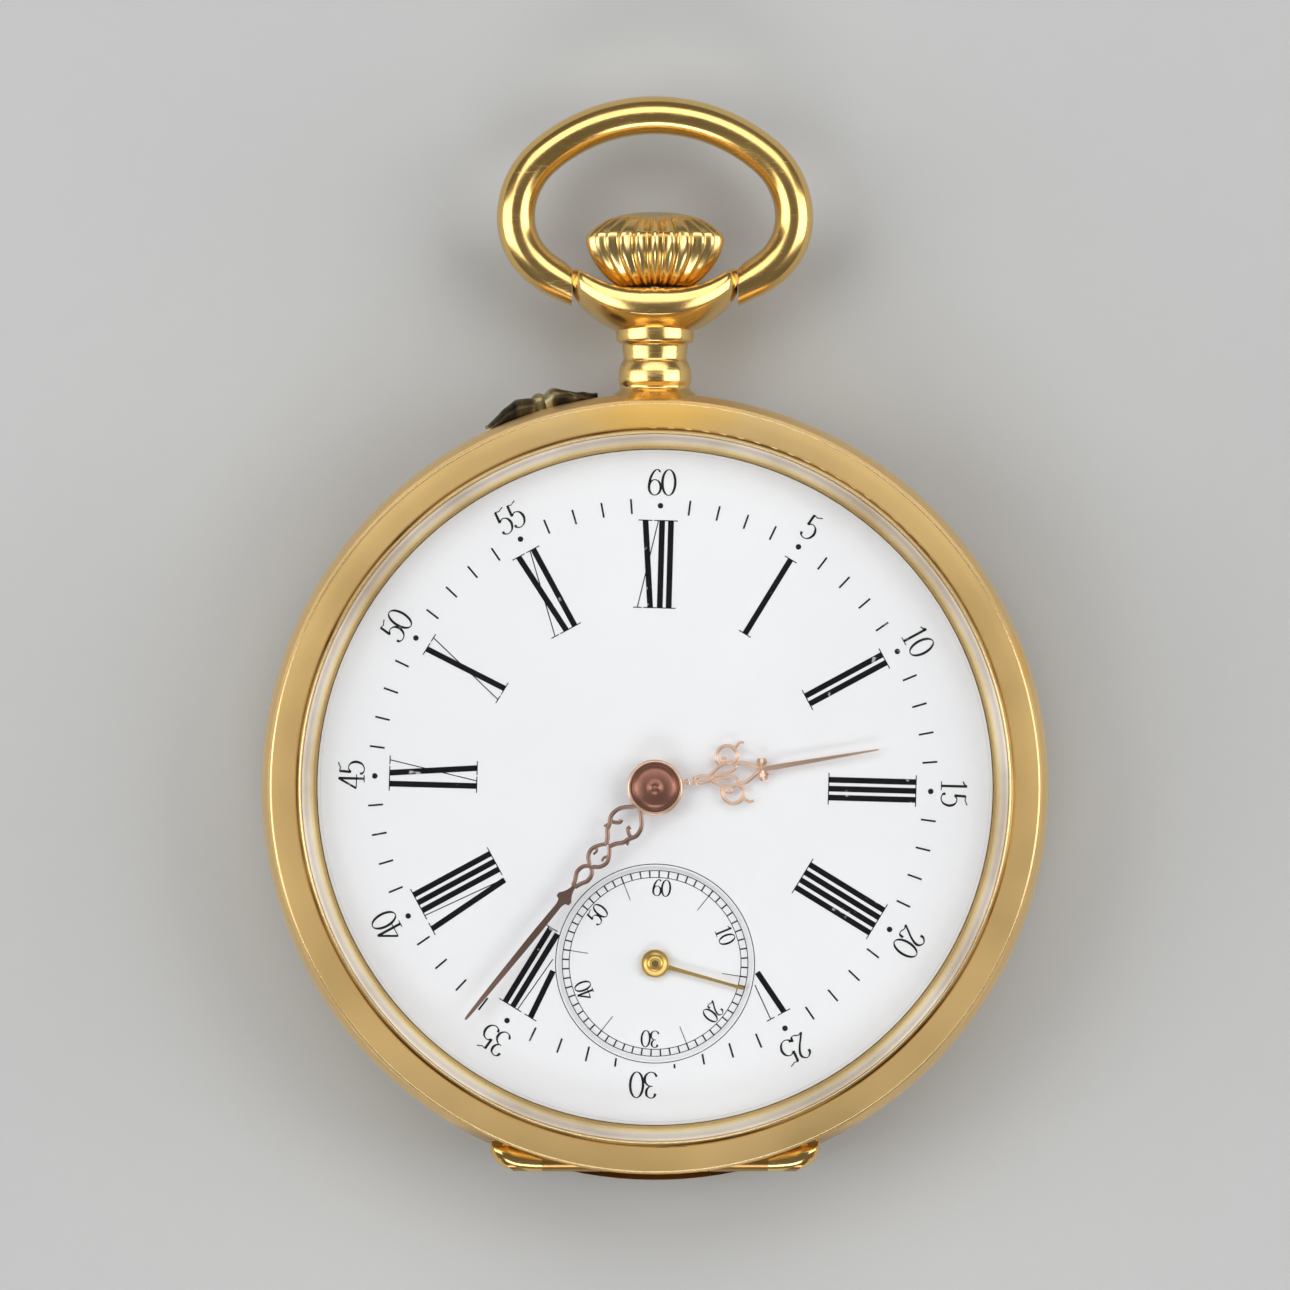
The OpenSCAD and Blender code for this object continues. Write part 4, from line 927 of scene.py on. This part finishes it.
def make_seconds_hand(materials):
    """A plain tapering needle on a hub turned in steps."""
    centre = (SECONDS_AT.x / MM, SECONDS_AT.y / MM)
    angle = hand_angle("seconds_hand", (SECONDS_AT.x, SECONDS_AT.y))
    low = node_low("seconds_hand").z / MM
    high = node_high("seconds_hand").z / MM
    build = Builder()
    stations = [(0.6, 0.17), (1.2, 0.125), (2.5, 0.105), (4.5, 0.09), (5.55, 0.105), (5.62, 0.04)]
    build.prism(turned_line(blade(stations), angle, centre), low + 0.02, low + 0.12)
    build.turned([(0, low), (0.80, low), (0.85, low + 0.08), (0.78, high), (0.66, high), (0.58, high - 0.06),
                  (0.46, high - 0.07), (0.42, high - 0.03), (0.32, high - 0.02), (0.27, high - 0.06),
                  (0.15, high - 0.03), (0.08, high - 0.06), (0, high - 0.05)], centre, 48)
    hand = build.piece("seconds_hand_fine", materials["gilt_hand"], "fourth", "seconds_gilt")
    sharpen(hand, 40)
    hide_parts("seconds_hand")


# ------------------------------------------------------------
# Bow, crown, pendant and setting pin guard
# ------------------------------------------------------------

# Height of the stem's axis, the bow's wire, and where its ends are held
STEM_Z = CROWN_AXIS_Z / MM
BOW_WIRE_R = (node_high("bow").z - node_low("bow").z) / 2 / MM
BOW_END = 5.08
BOW_PIVOT_Y = 30.46
# Right half of the bow's centre line: (centre, radius, from, to) in degrees
BOW_ARCS = [((0, 30.59), 10.38, 90, 49.07), ((3.59, 34.73), 4.9, 49.07, 0),
            ((4.59, 34.73), 3.9, 0, -50), ((2.6, 37.1), 7.0, -50, -62)]


def loft(build, rings):
    """Joins rings of equally many points, with flat ends."""
    n, count = len(rings[0]), len(rings)
    faces = []
    for i in range(count - 1):
        a, b = i * n, (i + 1) * n
        faces += [(a + k, a + (k + 1) % n, b + (k + 1) % n, b + k) for k in range(n)]
    faces += [tuple(range(n - 1, -1, -1)), tuple(range((count - 1) * n, count * n))]
    build.add([p for ring in rings for p in ring], faces)


def make_bow(materials):
    """The round wire of the bow, its left half mirrored from the right."""
    right = []
    for (cx, cy), r, start, end in BOW_ARCS:
        steps = max(3, int(abs(end - start) * r / 12))
        for i in range(steps):
            t = math.radians(start + (end - start) * i / steps)
            right.append((cx + r * math.cos(t), cy + r * math.sin(t), t))
    right.append((BOW_END, BOW_PIVOT_Y, math.radians(-90)))
    line = [(-x, y, math.pi - t) for x, y, t in reversed(right[1:])] + right
    sides = 40
    rings = []
    for x, y, t in line:
        ring = []
        for k in range(sides):
            u = 2 * math.pi * k / sides
            c, h = BOW_WIRE_R * math.cos(u), BOW_WIRE_R * math.sin(u)
            ring.append((x + c * math.cos(t), y + c * math.sin(t), STEM_Z + h))
        rings.append(ring)
    build = Builder()
    loft(build, rings)
    bow = build.piece("bow_polished", materials["polished"], "bow", "polished_gold")
    sharpen(bow, 40)
    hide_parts("bow")


def around_y(profile, sides, shape=None):
    """Rings round the stem's axis from (radius, y) points; shape(angle, y) scales the radius."""
    rings = []
    for r, y in profile:
        ring = []
        for k in range(sides):
            t = 2 * math.pi * k / sides
            q = max(r, 0.02) * (shape(t, y) if shape else 1)
            ring.append((q * math.cos(t), y, STEM_Z + q * math.sin(t)))
        rings.append(ring)
    return rings


FLUTES = 24
CROWN_SHOULDER_Y = 33.75


def make_crown(materials):
    """The onion crown, with round ribs that run over its shoulder to the middle."""
    profile = spline([
        (1.5, 30.44), (2.1, 30.46), (2.6, 30.75), (3.1, 31.2), (3.62, 31.85), (3.98, 32.45), (4.16, 33.0),
        (4.19, 33.35), (4.13, 33.66), (3.98, 33.84), (3.6, 34.16), (2.94, 34.58), (2.2, 34.82), (1.2, 35.0),
        (0.35, 35.05), (0.02, 35.05)], 5)

    def fluted(t, y):
        rib = (0.5 + 0.5 * math.cos(FLUTES * t)) ** 0.8
        deep = 0.10 if y < CROWN_SHOULDER_Y else 0.14
        return 1 - deep * (1 - rib)

    build = Builder()
    loft(build, around_y(profile, FLUTES * 16, fluted))
    crown = build.piece("crown_fluted", materials["crown"], "crown", "polished_gold")
    sharpen(crown, 55)
    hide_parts("crown")


def cradle_sections(half, stations=61):
    """Sections of the cradle from one end to the other, closest together at its ends."""
    rings = []
    for i in range(stations):
        u = -1 + 2 * i / (stations - 1)
        x = half * math.sin(u * math.pi / 2)
        # Outwards its two faces rise and close in, its depth shrinks, its front and back lips fade
        # and its ends are rounded off
        f = abs(x) / half
        top = 30.2 + 1.66 * f ** 2.6
        low = 27.35 + 2.45 * f ** 2.3
        deep = 3.35 - 1.45 * f ** 2
        lip = 0.70 * (1 - f) ** 0.5
        end = 1 - 0.30 * max(0.0, (f - 0.88) / 0.12) ** 2
        middle, tall = (top + low) / 2, (top - low) / 2 * end
        upper, lower = [], []
        for k in range(25):
            v = math.sin(math.radians(-90 + 7.5 * k))
            z = STEM_Z + deep * end * v
            raised = lip * abs(v) ** 4 * (1 - abs(v) ** 16)
            upper.append((x, middle + tall * (1 - abs(v) ** 6) ** 0.3 + raised, z))
            lower.append((x, middle - tall * (1 - v * v) ** 0.85, z))
        rings.append(upper + lower[-2:0:-1])
    return rings


def make_pendant(materials):
    """The neck with its collars, and the curved cradle that holds the bow's ends."""
    build = Builder()
    band = CASE_R / MM
    neck = spline([(2.95, band - 0.45), (2.5, band - 0.05), (2.15, band + 0.25), (2.12, band + 0.45),
                   (2.22, band + 0.75), (2.2, band + 1.4), (2.05, band + 1.85), (1.93, band + 2.1),
                   (1.97, band + 2.6), (2.05, band + 3.0), (2.28, band + 3.12), (2.37, band + 3.4),
                   (2.37, band + 3.9), (2.31, band + 4.35), (2.1, band + 4.7)], 5)
    loft(build, around_y(neck, 72))
    loft(build, cradle_sections(BOW_END - 0.05))
    pendant = build.piece("pendant_turned", materials["polished"], "case", "polished_gold")
    sharpen(pendant, 50)
    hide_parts("pendant")


def make_bezel_rings(materials):
    """The polished lip round the crystal, the groove beside it, and the bright bead at the bezel's edge; lip
    and bead are a paler gold, a painted highlight.
    """
    top = BEZEL_TOP
    groove = Builder()
    groove.turned([(GROOVE_R, top - 0.20), (GROOVE_R, top + 0.096), (21.66, top + 0.085), (21.71, top + 0.06),
                   (21.76, top), (21.79, top - 0.04), (21.855, top - 0.06), (21.86, top + 0.004),
                   (22.0, top + 0.006), (22.14, top + 0.004), (22.141, top - 0.20)], steps=540)
    sharpen(groove.piece("bezel_groove", materials["bezel"], "bezel", "case_gold"), 50)
    beads = Builder()
    beads.turned([(21.46, top - 0.30), (21.46, top + 0.03), (21.48, top + 0.09), (21.52, top + 0.13),
                  (21.56, top + 0.13), (GROOVE_R, top + 0.10), (21.60, top + 0.05),
                  (21.60, top - 0.30)], steps=540)
    beads.turned([(23.25, top - 0.20), (23.25, top - 0.035), (23.27, top - 0.018), (23.30, top - 0.012),
                  (23.33, top - 0.022), (23.35, top - 0.05), (23.36, top - 0.20)], steps=540)
    sharpen(beads.piece("bezel_beads", materials["rim"], "bezel", "polished_gold"), 60)


# Bezel hinge: its axis, the height where the bezel starts, and the bezel's radius with room to spare
HINGE_Y = -22.75
HINGE_Z = 7.75
BEZEL_FOOT = 7.94
BEZEL_CLEAR_R = 23.53


def make_ear_tips(materials):
    """Rounded outer ends of the hinge's two ears, kept clear of the bezel as it swings."""
    build = Builder()
    # Places along the ear: (x, y, z, radius)
    stations = [(6.2, HINGE_Y, HINGE_Z, 0.58), (7.2, -22.74, HINGE_Z, 0.64), (8.3, -22.60, 7.72, 0.74),
                (8.9, -22.38, 7.68, 0.84), (9.4, -22.12, 7.62, 0.86), (9.8, -21.92, 7.58, 0.68),
                (9.98, -21.84, 7.50, 0.35), (10.02, -21.80, 7.46, 0.05)]
    for side in (-1, 1):
        rings = []
        for x, y, z, r in spline(stations, 5):
            reach = 0.80 + 0.20 * min(1.0, max(0.0, (x - 8.3) / 0.6))
            ring = []
            for k in range(40):
                t = 2 * math.pi * k / 40
                py, pz = y + r * math.cos(t), z + r * math.sin(t)
                if pz > BEZEL_FOOT:
                    pull = min(1.0, reach / math.hypot(py - HINGE_Y, pz - HINGE_Z))
                    py, pz = HINGE_Y + (py - HINGE_Y) * pull, HINGE_Z + (pz - HINGE_Z) * pull
                    if math.hypot(x, py) < BEZEL_CLEAR_R:
                        pz = min(pz, BEZEL_FOOT)
                ring.append((side * x, py, pz))
            rings.append(ring)
        loft(build, rings)
    sharpen(build.piece("hinge_ear_tips", materials["polished"], "case", "polished_gold"), 60)


# The setting pin stands this many degrees from the pendant, and its guard's shoulders have two lumps
# each: (place from the pin, width, height)
PIN_LEAN = 16.8
GUARD_LUMPS = {1: ((0.85, 0.9, 0.62), (2.0, 1.6, 0.22)), -1: ((1.0, 1.3, 0.60), (2.2, 1.5, 0.20))}


def make_guard(materials):
    """Two worn leaf-shaped shoulders, one on each side of the setting pin."""
    lean = math.radians(90 + PIN_LEAN)
    build = Builder()
    band = CASE_R / MM
    for side, lumps in GUARD_LUMPS.items():
        rings = []
        for i in range(33):
            u = 0.35 + 3.2 * i / 32
            rise = sum(h * math.exp(-((u - at) / wide) ** 2) for at, wide, h in lumps)
            rise = rise * min(1.0, (3.6 - u) / 0.9) + 0.02 * math.sin(7 * u + side)
            a = lean - side * u / band
            ring = []
            for k in range(20):
                t = 2 * math.pi * k / 20
                r = band - 0.32 + (0.30 + max(rise, 0.02) * 0.55) * (1 + math.cos(t))
                z = STEM_Z + 1.05 * math.sin(t) * (0.55 + 0.45 * min(1.0, (3.6 - u) / 0.8))
                ring.append((r * math.cos(a), r * math.sin(a), z))
            rings.append(ring)
        loft(build, rings)
    guard = build.piece("setting_pin_shoulders", materials["tarnish"], "case", "tarnished_gold")
    sharpen(guard, 60)
    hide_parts("setting_pin_guard")


# ------------------------------------------------------------
# Floor
# ------------------------------------------------------------


FLOOR_HALF = 1.5
FLOOR_GAP = 0.05 * MM


def make_floor(materials):
    """A wide sheet just under the watch."""
    mesh = bpy.data.meshes.new("floor")
    corners = [(x * FLOOR_HALF, y * FLOOR_HALF, 0) for x, y in ((-1, -1), (1, -1), (1, 1), (-1, 1))]
    mesh.from_pydata(corners, [], [(0, 1, 2, 3)])
    mesh.materials.append(materials["backdrop"])
    floor = bpy.data.objects.new("floor", mesh)
    floor.location.z = cad_box[0].z - FLOOR_GAP
    bpy.context.collection.objects.link(floor)


bpy.context.scene.view_settings.view_transform = "Standard"
make_camera()
make_lights()
materials = make_materials()
finish_cad_nodes(materials)
make_floor(materials)
make_dial_print(materials)
make_hour_hand(materials)
make_minute_hand(materials)
make_seconds_hand(materials)
make_bow(materials)
make_crown(materials)
make_pendant(materials)
make_guard(materials)
make_bezel_rings(materials)
make_ear_tips(materials)
